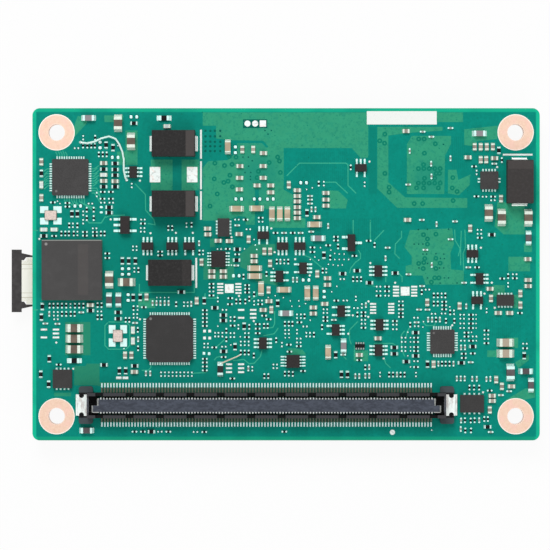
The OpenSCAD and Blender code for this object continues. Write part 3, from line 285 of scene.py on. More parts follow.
# Paths of the narrow copper under the mask
TRACES = [
    [(-13.4, -3.15), (-13.5, -3.95), (-11.5, -3.95), (-11.3, -3.45)],
    [(-11.5, -12), (-10, -10.65)],
    [(-11.9, -14.2), (-11.5, -13.75), (-10.9, -13.6)],
    [(-8.8, -14.3), (-7, -14.1), (-6.15, -14.8), (-5.3, -14.75), (-4.25, -13.6), (-4, -12.6)],
    [(-3.8, -10.2), (-2, -9.85), (-1.6, -9.35), (-1.3, -8.9)],
    [(-3.8, -9), (-2.2, -8.8), (-1.9, -8.2), (-1.9, -6.1)],
    [(-15.7, -16.5), (-15, -16.35), (-13.3, -16.3), (-13.2, -15.7)],
    [(11.1, 9), (11.1, 6.7)],
    [(13.95, 9), (13.95, 5.7)],
    [(14.6, 5.6), (16.2, 7.3)],
    [(11.95, 4), (12.3, 3.4), (12.3, 2.6), (11.5, 2), (10.7, 1), (10.5, 0.2)],
    [(19.1, 7.2), (19.1, 6.1), (18.1, 5), (18, 3.4), (18.8, 2.6)],
    [(18.6, 0.2), (19.2, -0.4), (19.2, -1.3)],
    [(29, 7.2), (28.9, 4.5), (28.5, 3)],
    [(11.9, -7.8), (10.5, -9.2), (10.5, -10.8), (10.8, -11.6)],
    [(11.3, -11.8), (11.3, -14.1)],
    [(14.5, -11.45), (17.6, -11.45), (18.2, -11.8)],
    [(16.2, -14), (16.5, -14.75), (17.3, -15.5)],
    [(19.6, -9.4), (19.1, -10), (19.1, -12.2), (19.6, -13.6)],
    [(22.7, -8), (23.2, -8.5), (24.5, -8.5), (24.8, -8)],
    [(9.4, -13.5), (10, -14.1)],
    [(13.5, -1.65), (14.8, -2.05)],
    [(16.5, -0.5), (16.5, -1.3)],
    [(-25, 15), (-23.3, 13.2), (-23.25, 10.6), (-21.9, 9.1), (-21.7, 8.2), (-22.9, 8.4)],
    [(-29.9, 9.6), (-30.6, 8.5), (-32.6, 8.5), (-33, 9)],
    [(-29.9, 9.4), (-29.2, 9.7), (-26.7, 9.8)],
    [(-29.4, -7.9), (-26.5, -7.9), (-25.9, -8.5), (-25.9, -11.8), (-26.5, -12.4), (-29.4, -12.4),
     (-30, -11.8), (-30, -8.5), (-29.5, -8)],
    [(2.9, 3.2), (3.96, 2.77), (5.9, 1.12)],
    [(-24.3, -1.6), (-24.3, -3), (-15.2, -3), (-15.2, -1.6)],
    [(0.1, 16.3), (2.2, 18.4), (9.9, 18.4), (10.25, 18.1), (10.25, 14.7), (11.6, 13.4)],
    [(6.3, 15.25), (8.2, 15.25), (10.2, 13.4)],
    [(-41.9, 7.26), (-41.1, 7.26)],
    [(-41.9, -5.9), (-41.1, -5.9)],
    [(27.9, 7.4), (28, 5.6), (28.9, 4.1), (28.9, 1.5)],
    [(29.6, 7.4), (29.7, 4.4), (29.3, 3.4), (29.4, 0.6)],
    [(-23.9, -15.9), (-22.8, -15.9), (-22.4, -15.4), (-22.4, -14.9)],
    [(-6, -4.2), (-4.9, -3.6), (-4.7, -2.9)],
    [(20.4, -8.9), (20, -9.6), (19.9, -10.4)],
]
# Rows of traces leaving a chip: first x and y, axis, side, pitch, number, reach, lean
FANS = [
    (-39.2, 14.65, "y", -1, 0.4, 8, 1.1, -0.5), (-32.2, 14.65, "y", 1, 0.4, 8, 1.2, 0.45),
    (-36.7, 12.55, "x", -1, 0.4, 6, 1.4, 0.4), (-37.9, 19.5, "x", 1, 0.4, 5, 1, -0.3),
    (-34.2, 12.55, "x", -1, 0.4, 3, 2.1, 0.95), (-32.2, 13.45, "y", 1, 0.4, 3, 1.9, -0.9),
]
# Vias whose clearance shows as a dark ring in the wide copper
RING_VIAS = [
    (-11.8, 18.4), (-10.2, 18), (-11.9, 15.8), (-9.3, 16.4), (-9.6, 15.4), (-10.3, 15.2),
    (-8.95, 18.2), (-8.9, 14.5), (-9.4, 19.5), (-8.3, 19.4), (-4.8, 16), (-4.6, 17.05), (-2.8, 18.5),
    (-1.4, 19.4), (-1.1, 18.75), (-0.95, 16.85), (22.75, 6.55), (23.4, 5.85), (23.4, 5), (24.8, 6.65),
    (22.95, 2.6), (24.8, 2.65), (21.95, 1.8), (22.8, 1.95), (25.5, 1.85), (22.7, 0.95), (24.8, 0.95),
    (24.6, -0.6), (25.3, -0.6), (24.05, -1.3), (16.35, 23.2), (15.5, 22.1), (16.3, 21.7),
    (16.35, 16.7), (17.05, 14.4), (17.05, 13.6), (21.95, 22.4), (22.85, 22.4), (24.7, 21.6),
    (22.9, 20.05), (22.75, 18.15), (24.85, 16.7), (25.4, 16.7), (22.9, 15.9), (24.6, 15.9),
    (21.6, 14.3), (22.75, 14.3), (25.2, 14.3), (27.5, 14.3), (28.3, 13.7), (27.6, 16), (27.65, 12.2),
    (21.2, 11.7), (22.6, 11.7), (-12.6, 11.3), (-11.4, 13.3),
]
RING_ROWS = (np.arange(21.9, 25.7, 0.9), [15.1, 17.5])
# Vias without a ring, a field of larger ones, and the dark field under the three test points
DOT_VIAS = [
    (22.65, 5), (21.95, 5), (21.2, 5), (22.65, 3.35), (23.25, 3.35), (24.8, 3.4), (26.1, 3.35),
    (25.55, 2.6), (26.2, 2.6), (23.4, 1.8), (22, 1.05), (25.4, 1.05), (26.1, 1.05), (23.4, -0.6),
    (26.2, -0.6), (26.9, -0.6), (25.5, -1.45), (28.3, -1.45), (21.9, 7.4), (23.4, 7.45), (26.9, 7.45),
    (-7.15, 19.4), (-6.25, 19.4), (-5.6, 18.8), (-6.2, 17.9), (-6.8, 16.85), (-5.85, 16.85),
    (-5.9, 16.2), (-5.9, 15.7), (-3.5, 23.8), (-2.45, 23.8), (-3, 23.2), (26.05, 21.5),
]
VIA_FIELD = ([-13.35, -12.55, -11.8, -10.9], [23.75, 22.85, 21.95, 21.2, 20.4])
TEST_FIELD = block(-7.15, -3.1, 24.2, 25.65)
# Fields where lines of an inner layer show faintly: x0, x1, y0, y1
STRIPED = [
    (2, 10.2, 14.7, 20.3), (5.6, 15.9, 2.9, 9.3), (8.9, 15.9, -4, -2.3), (3.9, 6, -15, -10.5),
    (33, 39, -10.4, -6.9), (27.4, 29.9, 17.5, 22.8),
]
# Darker areas: discs as x, y, radius and softness, rectangles as x0, x1, y0, y1
# Painted shade on the mask over the crowded middle of the board, as a disc
SHADED_MASK = (-17, 0, 18, 14)
# Painted shade on the mask along one strip of the near face, as a rectangle
SHADED_STRIP = (13.7, 15, 13.4, 24.4)
DULL_COPPER = (-7.9, -3.2, 12, 21.8)
CROWDED_COPPER = [(23.8, 16, 2.6, 1.2), (-4, 16.5, 3, 1.5)]
SHADED_COPPER = [(-34, -12, 9, 3), (-8, 1, 7, 2)]
# Large capacitors as x, y, whether turned, and how much their band shows; one has a paler face
TANTALUMS = [(-18.6, 21.6, 0, 0.5), (-18.6, 11.65, 0, 0.5), (-19.2, 0.25, 0, 0.12), (38.6, 15.3, 1, 0.4)]
TANTALUM_FIELD = (36.4, 40.8, 11.6, 17.35, 0.22)
# Mouldings: dimples as x, y, radius, share and fields as x0, x1, y0, y1, share
CONTROLLER_DIMPLE = (-39.65, 5, 0.24, 0.9)
CONTROLLER_FIELD = (-34.4, -32.7, -3.4, 5, 0.3)
# Chips whose moulding differs: node, name of the finish, brightness, dimples
CHIP_FINISHES = [
    ("qfn68_body", "square_moulding", 0.8, [(-22.4, -7.35, 0.22, 0.6)]),
    ("qfn48_body", "quad_moulding", 1.08, [(-38, 13.75, 0.2, 0.5)]),
    ("qfn32_body", "flat_moulding", 1, [(24.4, -9.7, 0.18, 0.4)]),
    ("dfn_bodies", "dfn_moulding", 0.86, []),
]
# Small parts that are paler or darker than their like
PALE_CHIPS = [
    (-30.2, 16.45), (-19.7, 24.5), (-40.1, 7.4), (-38.4, 7.4), (-40.5, 14.8), (-25.35, -9.25),
    (-25.35, -11.05),
]
PALE_LARGE = [(36.3, -11.3), (36.3, -13.1)]
PALE_BEADS = [(5.3, 5.95), (-0.05, -6.45), (-32.7, 25.85), (32, 23.3), (9.5, -11.85)]
DARK_BEADS = [(-10.9, -15.7)]
# Soldered ends of the wires, and where along X the short wire's coat takes over
WIRE_ENDS = [(-34.05, 21.85), (-26.4, 15.6), (-10.9, -14.82), (-7.5, -13.27)]
SHORT_WIRE = (-15, -14)

# Far side: chips as x, y, half width, half depth; copper round the chokes; buses; rows of vias and lands
FAR_CHIPS = [
    (2, 0.5, 15.5, 12), (28, 7.6, 5, 6.5), (28, -6.6, 5, 6.5), (-24, 7.6, 5, 6.5), (-24, -6.6, 5, 6.5),
    (-27, -21, 6.5, 4.75), (-35.5, 16, 2.7, 2.7), (5.5, 19, 3.2, 3.2),
]
FAR_POURS = [
    block(33.6, 39.4, 5.8, 18), block(33.6, 39.4, -12.2, -5.4), block(15.6, 28.4, -24.2, -18),
    block(-11.4, -4.6, -24.2, -18), block(-17.4, -4.6, 19.4, 25.8), block(9, 14.6, -23.4, -18.8),
]
BUSES = [(17.7, 22.8), (-13.7, -18.8)]
BUS_ROWS = np.linspace(-11.4, 12.4, 27)
BUS_SPREAD = 0.06
FAR_VIAS = (np.arange(-12.6, 17, 0.9), [-13.6, -12.7, 13.8, 14.7])
MEMORY_LANDS = (np.concatenate([np.arange(23.6, 33, 1.1), np.arange(-28.4, -19, 1.1)]), [15.2, -14.3])
TEST_LANDS = (np.arange(-17, -11, 1.27), [-25.6])
DIE_LANDS = (np.arange(-3.6, 8, 1.25), [-6.3, -5.6, 6.6, 7.3])


class Sock:
    """One output of a shader node. Its operators add Math nodes."""

    def __init__(self, tree, out):
        self.tree = tree
        self.out = out

    def __add__(self, other):
        return self.tree.math("ADD", self, other)

    def __sub__(self, other):
        return self.tree.math("SUBTRACT", self, other)

    def __rsub__(self, other):
        return self.tree.math("SUBTRACT", other, self)

    def __mul__(self, other):
        return self.tree.math("MULTIPLY", self, other)

    def __truediv__(self, other):
        return self.tree.math("DIVIDE", self, other)

    def __rtruediv__(self, other):
        return self.tree.math("DIVIDE", other, self)

    def __abs__(self):
        return self.tree.math("ABSOLUTE", self)

    __radd__ = __add__
    __rmul__ = __mul__

    def most(self, other):
        return self.tree.math("MAXIMUM", self, other)

    def least(self, other):
        return self.tree.math("MINIMUM", self, other)

    def part(self):
        """What is left after the whole number."""
        return self.tree.math("FRACT", self)

    def rise(self, low, high):
        """Smooth step from 0 at low to 1 at high."""
        return self.tree.node(
            "ShaderNodeMapRange", {"interpolation_type": "SMOOTHSTEP"},
            {"Value": self, "From Min": low, "From Max": high},
        )

    def also(self, name):
        """Another output of the same node."""
        return Sock(self.tree, self.out.node.outputs[name])


def union(shares):
    """The largest of several shares at each point."""
    return reduce(Sock.most, shares)


class Nodes:
    """A node tree of a material or of the world."""

    def __init__(self, tree):
        self.tree = tree

    def node(self, kind, settings=None, inputs=None, out=0):
        """Any node: its type, then its settings, then the values or links of its sockets."""
        made = self.tree.nodes.new(kind)
        for key, value in (settings or {}).items():
            setattr(made, key, value)
        for key, value in (inputs or {}).items():
            self.feed(made.inputs[key], value)
        return Sock(self, made.outputs[out])

    def feed(self, socket, value):
        if isinstance(value, Sock):
            self.tree.links.new(value.out, socket)
        elif hasattr(value, "__len__"):
            socket.default_value = (*value, 1) if len(socket.default_value) > len(value) else tuple(value)
        else:
            socket.default_value = value

    def math(self, operation, first, second=0.0):
        return self.node("ShaderNodeMath", {"operation": operation}, {0: first, 1: second})

    def mix(self, share, first, second):
        """First colour where share is 0, second where it is 1."""
        return self.node("ShaderNodeMix", {"data_type": "RGBA"}, {0: share, 6: first, 7: second}, 2)

    def seen(self):
        """1 on the rays that show the background: those of the camera, of gloss and of glass."""
        path = self.node("ShaderNodeLightPath", out="Is Camera Ray")
        return path.most(path.also("Is Glossy Ray")).most(path.also("Is Transmission Ray"))


class Paint(Nodes):
    """A material in the making: its Principled shader and the millimetre coordinates of the surface."""

    def __init__(self, name):
        self.material = bpy.data.materials.new(name)
        self.material.use_nodes = True
        super().__init__(self.material.node_tree)
        self.shader = self.tree.nodes["Principled BSDF"]
        place = self.node("ShaderNodeTexCoord", out="Object")
        self.mm = self.node("ShaderNodeVectorMath", {"operation": "SCALE"}, {0: place, "Scale": 1 / MM})
        self.x = self.node("ShaderNodeSeparateXYZ", {}, {0: self.mm}, "X")
        self.y = self.x.also("Y")
        self.z = self.x.also("Z")

    def noise(self, size, detail=2.0, rough=0.5, shift=0.0, stretch=(1, 1, 1)):
        """Cloudy noise from 0 to 1 whose blotches are about size millimetres across."""
        moved = self.node(
            "ShaderNodeVectorMath", {"operation": "MULTIPLY_ADD"},
            {0: self.mm, 1: stretch, 2: (shift, shift, shift)},
        )
        return self.node(
            "ShaderNodeTexNoise", {},
            {"Vector": moved, "Scale": 1 / size, "Detail": detail, "Roughness": rough},
        )

    def cells(self, size):
        """Distance to the nearest of scattered points that lie about size millimetres apart."""
        return self.node("ShaderNodeTexVoronoi", {}, {"Vector": self.mm, "Scale": 1 / size}, "Distance")

    def away(self, x, y, mirrored=False):
        """Distance in plan from a point or, mirrored, from the nearest of its four mirror images."""
        across, up = (abs(self.x), abs(self.y)) if mirrored else (self.x, self.y)
        flat = self.node("ShaderNodeCombineXYZ", {}, {0: across, 1: up})
        return self.node("ShaderNodeVectorMath", {"operation": "DISTANCE"}, {0: flat, 1: (x, y, 0)}, "Value")

    def disc(self, x, y, radius, soft=0.06):
        """1 inside a circle in plan, 0 outside."""
        return 1 - self.away(x, y).rise(radius - soft, radius + soft)

    def discs(self, places, radius):
        """1 inside any of several circles."""
        return union([self.disc(*place, radius) for place in places])

    def field(self, x0, x1, y0, y1, soft=0.05):
        """1 inside a rectangle in plan, 0 outside: the larger of the two distances past its sides."""
        across = abs(self.x - (x0 + x1) / 2) - (x1 - x0) / 2
        up = abs(self.y - (y0 + y1) / 2) - (y1 - y0) / 2
        return 1 - across.most(up).rise(-soft, soft)

    def band(self, value, low, high, soft=0.02):
        """1 where value lies between low and high."""
        return value.rise(low - soft, low + soft) * (1 - value.rise(high - soft, high + soft))

    def finish(self, base, rough, height=None, depth=0.01, metal=0.0, **constants):
        """Feeds the shader; height is a bump in parts of depth millimetres."""
        self.feed(self.shader.inputs["Base Color"], base)
        self.feed(self.shader.inputs["Roughness"], rough)
        self.feed(self.shader.inputs["Metallic"], metal)
        for key, value in constants.items():
            self.feed(self.shader.inputs[key.replace("_", " ")], value)
        if height is not None:
            relief = {"Strength": 1.0, "Distance": depth * MM, "Height": height}
            bump = self.node("ShaderNodeBump", {}, relief)
            self.feed(self.shader.inputs["Normal"], bump)
        return self.material


def blend(first, second, share):
    """Plain mixture of two fixed colours."""
    return tuple((np.array(first) * (1 - share) + np.array(second) * share).tolist())


def tint(base, factor):
    """A fixed colour made lighter or darker without changing its hue."""
    return tuple(np.clip(np.array(base) * factor, 0, 1).tolist())


def grid_quads(rows, columns):
    """Quads of a grid whose rows close on themselves: corners (i, j), (i, j+1), (i+1, j+1), (i+1, j)."""
    i, j = np.meshgrid(np.arange(rows - 1), np.arange(columns), indexing="ij")
    a = i * columns + j
    b = i * columns + (j + 1) % columns
    return np.stack([a, b, b + columns, a + columns], -1).reshape(-1, 4)


def capped(points):
    """Closed shells from an array (shells, rows, columns, 3): grid walls, first row and last row as caps."""
    shells, rows, columns, _ = points.shape
    start = (np.arange(shells) * rows * columns)[:, None, None]
    walls = (grid_quads(rows, columns)[None] + start).reshape(-1, 4)
    ring = np.arange(columns)
    low = (ring[::-1][None] + start[:, 0]).reshape(shells, columns)
    high = (ring[None] + (rows - 1) * columns + start[:, 0]).reshape(shells, columns)
    return points.reshape(-1, 3), walls.tolist() + low.tolist() + high.tolist()


def mounds(centres, half_x, half_y, height, power=2.0, sides=10, base=0.0):
    """Low mounds: over each centre the outline |x/a|^p + |y/b|^p = 1 shrinks as it rises on a quarter arc."""
    t = np.arange(sides) * 2 * np.pi / sides + np.pi / sides
    c, s = np.cos(t), np.sin(t)
    reach = np.stack([np.abs(c), np.abs(s)], -1) ** (2 / power)
    outline = np.stack([np.sign(c), np.sign(s)], -1) * reach * (half_x, half_y)
    lift = np.array([0.0, 0.55, 0.92])
    crown = 0.45
    shrink = crown + (1 - crown) * np.sqrt(1 - lift**2)
    places = np.asarray(centres, float)[:, None, None, :]
    plan = places + outline[None, None] * shrink[None, :, None, None]
    z = np.broadcast_to((base + height * lift)[None, :, None, None], plan.shape[:3] + (1,))
    return capped(np.concatenate([plan, z], -1))


def collars(centres, radius, width, height, sides=16):
    """Flat rings: a four-cornered profile at distance radius is carried round a circle about each centre."""
    t = np.arange(sides) * 2 * np.pi / sides
    r = radius + width * np.array([-0.5, -0.4, 0.4, 0.5, -0.5])
    z = np.array([0, height, height, 0, 0.0])
    circle = np.stack([np.cos(t), np.sin(t)], -1)
    plan = np.asarray(centres, float)[:, None, None, :] + r[None, :, None, None] * circle
    points = np.concatenate([plan, np.broadcast_to(z[None, :, None, None], plan.shape[:3] + (1,))], -1)
    shells, rows = points.shape[:2]
    start = (np.arange(shells) * rows * sides)[:, None, None]
    return points.reshape(-1, 3), (grid_quads(rows, sides)[None] + start).reshape(-1, 4).tolist()


def ribbon(path, width, height):
    """A low trapezium carried along a path: at each point it stands on the mitre of the two runs."""
    p = np.asarray(path, float)
    run = np.diff(p, axis=0)
    run /= np.linalg.norm(run, axis=1, keepdims=True)
    ahead = np.concatenate([run, run[-1:]])
    behind = np.concatenate([run[:1], run])
    mitre = ahead + behind
    mitre /= np.linalg.norm(mitre, axis=1, keepdims=True)
    reach = 1 / np.maximum(0.5, (mitre * ahead).sum(1, keepdims=True))
    side = np.stack([-mitre[:, 1], mitre[:, 0]], -1) * reach
    across = width * np.array([-0.5, -0.4, 0.4, 0.5])
    plan = p[:, None, :] + side[:, None, :] * across[None, :, None]
    z = np.broadcast_to(height * np.array([0, 1, 1, 0.0])[None, :, None], plan.shape[:2] + (1,))
    return capped(np.concatenate([plan, z], -1)[None])


def plate(outline, height, inset=0.03):
    """A thin plate: the outline on the face and, drawn in towards the middle by inset, at the top."""
    p = np.asarray(outline, float)
    middle = p.mean(0)
    away = p - middle
    top = middle + away * (1 - inset / np.linalg.norm(away, axis=1, keepdims=True))
    plan = np.stack([p, top])
    z = np.broadcast_to(np.array([0.0, height])[:, None, None], plan.shape[:2] + (1,))
    return capped(np.concatenate([plan, z], -1)[None])


def corner_marks(x, y, half_x, half_y, gap=0.5, arm=1.2):
    """Four angled lines just outside the corners of a rectangle."""
    marks = []
    for sx in (-1, 1):
        for sy in (-1, 1):
            cx, cy = x + sx * (half_x + gap), y + sy * (half_y + gap)
            marks.append([(cx - sx * arm, cy), (cx, cy), (cx, cy - sy * arm)])
    return marks


def bundle(x0, x1, rows, spread):
    """Traces side by side from x0 to x1: straight, fanned out by spread in the middle, straight."""
    y = np.asarray(rows, float)
    x = x0 + (x1 - x0) * np.array([0, 0.3, 0.65, 1])
    heights = y[:, None] * (1 + spread * np.array([0, 0, 1, 1]))
    return np.stack([np.broadcast_to(x, heights.shape), heights], -1).tolist()


def rows_of(xs, ys):
    """Every place of a grid."""
    x, y = np.meshgrid(xs, ys)
    return np.stack([x.ravel(), y.ravel()], -1)


def below(parts):
    """The same shapes on the board's far face: z becomes the face's height less z."""
    face = box_mm("board")[0][2]
    return [(points * (1, 1, -1) + (0, 0, face), faces) for points, faces in parts]


def gather(parts):
    """Several point and face lists as one."""
    points, faces, start = [], [], 0
    for some, quads in parts:
        points.append(some)
        faces += [[k + start for k in face] for face in quads]
        start += len(some)
    return np.concatenate(points), faces


def piece(name, parts, material):
    """Makes one object from lists in millimetres, faces outwards, riding on the module."""
    points, faces = gather(parts)
    mesh = bpy.data.meshes.new(name)
    mesh.from_pydata((points * MM).tolist(), [], faces)
    shape = bmesh.new()
    shape.from_mesh(mesh)
    bmesh.ops.recalc_face_normals(shape, faces=shape.faces)
    shape.to_mesh(mesh)
    shape.free()
    mesh.materials.append(material)
    made = bpy.data.objects.new(name, mesh)
    bpy.context.scene.collection.objects.link(made)
    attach(made, "module")


def coat_node(name, material):
    """Gives a CAD node its finish."""
    if name not in frame["nodes"]:
        raise RuntimeError("no CAD node named " + name)
    target = frame["nodes"][name]
    if not target.material_slots:
        raise RuntimeError("no material slot on " + name)
    for place in target.material_slots:
        place.material = material


def coat_slot(slot, material):
    """Gives one finish to every CAD node of a material slot."""
    for part in frame["record"]["subparts"]:
        if part["material_slot"] == slot:
            coat_node(part["node"], material)


class BoardLook(bpy.types.PropertyGroup):
    mask: colour("Solder mask", "Mask over the laminate", 3, 142, 126)
    rim: colour("Board rim", "Mask along the edge, where the copper planes end", 22, 184, 146)
    pour: colour("Covered copper", "Mask over the wide copper areas", 54, 162, 125)
    trace: colour("Covered traces", "Mask over the narrow traces", 60, 180, 148)
    via: colour("Tented vias", "Mask over the plated vias", 0, 102, 88)
    gap: colour("Copper clearances", "Mask over the gap between a via and the copper round it", 6, 130, 106)
    opening: colour("Mask openings", "Shaded edge of the mask round a land", 0, 92, 84)
    core: colour("Laminate edge", "Cut edge of the glass laminate", 150, 160, 104)
    legend: colour("Legend", "White print", 246, 250, 246)
    copper: colour("Bare copper", "Lands round the screw holes", 239, 207, 185)
    rim_width: length("Rim width", "Width of the brighter band along the edge", 0.62)
    via_radius: length("Via radius", "Radius of a tented via", 0.15)


class PartLook(bpy.types.PropertyGroup):
    mould: colour("Chip moulding", "Moulding compound of the packages", 70, 69, 69)
    small: colour("Small moulding", "Compound of the transistor-size packages", 55, 51, 51)
    tantalum: colour("Capacitor moulding", "Compound of the large capacitors", 47, 46, 46)
    mark: colour("Moulding marks", "Polarity bands and corner dimples", 100, 94, 92)
    tan: colour("Pale ceramic", "Middle-size ceramic capacitors", 198, 180, 152)
    brown: colour("Brown ceramic", "Large ceramic capacitors", 110, 98, 85)
    rose: colour("Rose ceramic", "Small ceramic capacitors", 160, 153, 141)
    chalk: colour("White ceramic", "Smallest ceramic capacitors", 152, 158, 150)
    glaze: colour("Resistor glaze", "Black glaze of the resistors", 14, 14, 16)
    ferrite: colour("Ferrite", "Chip beads", 92, 86, 88)
    solder: colour("Solder", "Reflowed solder and tinned metal", 236, 244, 241)
    # Small lands: solder tinted green as a painted reflection of the mask round it
    pads: colour("Small lands", "Solder on small lands, tinged by the mask round it", 212, 248, 242)
    cream: colour("Capacitor ends", "Soldered ends of the ceramic capacitors", 222, 234, 221)
    housing: colour("Connector moulding", "Black housing of the carrier connector", 38, 38, 40)
    tongue: colour("Tongue face", "Top of the connector's tongue", 76, 81, 92)
    block: colour("End blocks", "Top of the connector's end blocks", 80, 88, 92)
    ivory: colour("Ivory moulding", "Housing of the flat-cable connector", 255, 255, 247)
    slider: colour("Slider moulding", "Dark slider of the flat-cable connector", 72, 70, 71)
    run: colour("Contact run", "Contact metal in the shade of the housing", 98, 104, 88)
    wire: colour("Wire coat", "Insulation of the hand-laid wires", 226, 255, 247)
    lid: colour("Crystal lid", "Metal lid of the crystals", 226, 206, 196)


class StageLook(bpy.types.PropertyGroup):
    height: length("Camera height", "Camera above the board's face", 505.9)
    middle_x: length("View centre X", "Point looked at", -1.84)
    middle_y: length("View centre Y", "Point looked at", -0.12)
    key: FloatProperty(name="Key light", description="Strength of the soft lamp", unit="POWER", default=2.95)
    sky: FloatProperty(name="Sky", description="Strength of the even light from all round", default=0.41)


def mask_paint(name, base, patches=0.05):
    """Solder mask over copper: a slightly cloudy satin coat with a fine pebble."""
    paint = Paint(name)
    cloud = paint.noise(2.4, 3, 0.6)
    fine = paint.noise(0.22, 2, 0.6)
    shade = paint.mix(cloud.rise(0.3, 0.7), tint(base, 1 - patches), tint(base, 1 + patches))
    return paint, shade, cloud, fine


def plain_mask(name, base, patches, rough, swing, depth):
    """A finished mask of one tint, whose roughness swings with its clouds."""
    paint, shade, cloud, fine = mask_paint(name, base, patches)
    return paint.finish(shade, rough + cloud * swing, fine, depth, Specular_IOR_Level=SATIN)


def grained(name, tones, grain, rough, depth, metal=0.0, window=None, **constants):
    """Two tones mixed by one noise, which also gives the bump and swings the roughness.

    Grain holds the settings of the noise, rough the roughness and its swing, and window the span of
    the noise over which one tone gives way to the other.
    """
    paint = Paint(name)
    noise = paint.noise(*grain)
    share = noise.rise(*window) if window else noise
    level, swing = rough
    return paint.finish(paint.mix(share, *tones), level + noise * swing, noise, depth, metal, **constants)


def board_texture(paint, shade, look, near):
    """Lines of an inner layer, streaks and the weave of the glass that show through the mask."""
    lines = paint.band((paint.x / LINE_PITCH).part(), 0.25, 0.6, 0.15)
    lines = lines * union([paint.field(*some) for some in STRIPED]) * near
    streaks = paint.noise(0.7, 2, 0.6, 55, (1, 0.2, 1)).rise(0.5, 0.66)
    weave = paint.noise(0.4, 2, 0.6, 71)
    for share, factor in (
        (lines * 0.55, 0.74),
        (streaks * 0.3, 1.14),
        (weave.rise(0.52, 0.68) * 0.5, 0.84),
        ((1 - weave.rise(0.34, 0.48)) * 0.45, 1.16),
    ):
        shade = paint.mix(share, shade, tint(look.mask, factor))
    return shade


def board_rim(paint, look, cloud):
    """Share and colour of the bright band along the edge: palest at the ends, dark along the low side."""
    low, high = box_mm("board")
    half = (high - low) / 2
    beside = half[0] - abs(paint.x)
    inside = beside.least(half[1] - abs(paint.y)) + (cloud - 0.5) * 0.1
    wide = look.rim_width / MM
    rim = paint.mix(paint.y.rise(low[1] + 1, low[1] + 3), tint(look.rim, 0.78), look.rim)
    rim = paint.mix(1 - beside.rise(wide, wide + 0.3), rim, tint(look.rim, 1.14))
    return 1 - inside.rise(wide - 0.12, wide + 0.12), rim


def cut_edge(paint, look):
    """Share and colour of the cut sides: glass laminate with broken lines of copper."""
    low, high = box_mm("board")
    share = paint.band(paint.z, low[2] + 0.03, high[2] - 0.03, 0.01)
    copper = paint.band((paint.z / LAYER_PITCH).part(), 0.42, 0.58, 0.06)
    copper = copper * paint.noise(1.6, 2, 0.5, 9).rise(0.35, 0.6)
    glass = paint.mix(paint.noise(0.3, 3, 0.7, 4), tint(look.core, 0.7), look.core)
    return share, paint.mix(copper * 0.7, glass, blend(look.copper, (0.2, 0.1, 0.02), 0.4))


def feet_strip_shade(paint):
    """1 on the two strips behind the carrier connector's feet: laminate darkened by painted shade of the
    housing.
    """
    low, high = box_mm("connector_contacts")
    off_row = abs(paint.y - (low[1] + high[1]) / 2)
    reach = (high[1] - low[1]) / 2
    strips = paint.band(off_row, reach - FEET_INNER, reach - FEET_OUTER, 0.08)
    return strips * paint.band(paint.x, low[0], high[0], 0.2)


def board_paint(look):
    """Mask on both faces with its texture, rim, darker patches and painted shade, and the cut edge."""
    paint, shade, cloud, fine = mask_paint("board_mask", look.mask)
    near = paint.z.rise(*NEAR_HALF)
    shade = board_texture(paint, shade, look, near)
    share, rim = board_rim(paint, look, cloud)
    shade = paint.mix(share, shade, rim)
    # Random darker patches of the mask, then painted shade over the crowded middle and along one strip
    patchy = paint.noise(7, 2, 0.5, 31).rise(0.45, 0.7) * 0.35
    dark = patchy.most(paint.disc(*SHADED_MASK) * 0.7)
    dark = dark.most(paint.field(*SHADED_STRIP, 0.2) * near * 0.6)
    shade = paint.mix(dark, shade, tint(look.mask, 0.8))
    # Laminate behind the connector's feet, darkened nearly to black as painted shade of the housing
    shade = paint.mix(feet_strip_shade(paint) * near * 0.6, shade, blend(look.core, (0, 0, 0), 0.82))
    edge, cut = cut_edge(paint, look)
    shade = paint.mix(edge, shade, cut)
    rough = 0.34 + cloud * 0.1 + edge * 0.4
    return paint.finish(shade, rough, fine + cloud * 2, 0.006, Specular_IOR_Level=SATIN)


class MODULE_OT_dress_board(bpy.types.Operator):
    """Solder mask on the laminate and tarnished copper on the screw lands"""

    bl_idname = "module.dress_board"
    bl_label = "Dress board"

    def execute(self, context):
        look = context.scene.module_board
        coat_slot("laminate", board_paint(look))
        paint = Paint("bare_copper")
        hole = box_mm("screw_lands")[1] - SCREW_LAND
        away = paint.away(hole[0], hole[1], True)
        grain = paint.noise(0.5, 4, 0.65)
        dull = blend(look.copper, (0.55, 0.25, 0.12), 0.2)
        tarnish = paint.mix(grain.rise(0.35, 0.75), look.copper, dull)
        blush = paint.noise(1.3, 2, 0.5, 27).rise(0.45, 0.65)
        tarnish = paint.mix(blush * 0.5, tarnish, srgb(243, 199, 186))
        ring = ((1 - away.rise(*HOLE_RING)) * 0.3).most(away.rise(*LAND_RING))
        base = paint.mix(ring * 0.8, tarnish, (0.86, 0.84, 0.8))
        metal = 0.35 + ring * 0.4
        coat_slot("bare_copper", paint.finish(base, 0.42 + grain * 0.16, grain, 0.012, metal))
        return {"FINISHED"}


def spread_places(count, clear):
    """Even scatter over the board, kept off its corners: the fractions of k times an irrational pair."""
    k = np.arange(count)[:, None]
    places = k * SCATTER_STEP % 1 * SCATTER_SPAN + SCATTER_START
    return places[~(np.abs(places) > clear).all(1)]


def fan_out(x, y, along, out, pitch, count, reach, lean):
    """Traces from a row of pads: straight out by about a third of reach, then bent towards lean.

    The row starts at (x, y) and steps by pitch along the axis; out is the other axis' sign. In turns
    of three, each next trace runs a little further before it bends.
    """
    k = np.arange(count)[:, None]
    row, side = np.eye(2) if along == "x" else np.eye(2)[::-1]
    foot = np.array([x, y]) + k * pitch * row
    knee = foot + out * side * (0.25 + 0.1 * (k % 3)) * reach
    tip = foot + out * side * reach * (0.8 + 0.2 * (k % 2)) + row * lean * reach
    return np.stack([foot, knee, tip], 1).tolist()


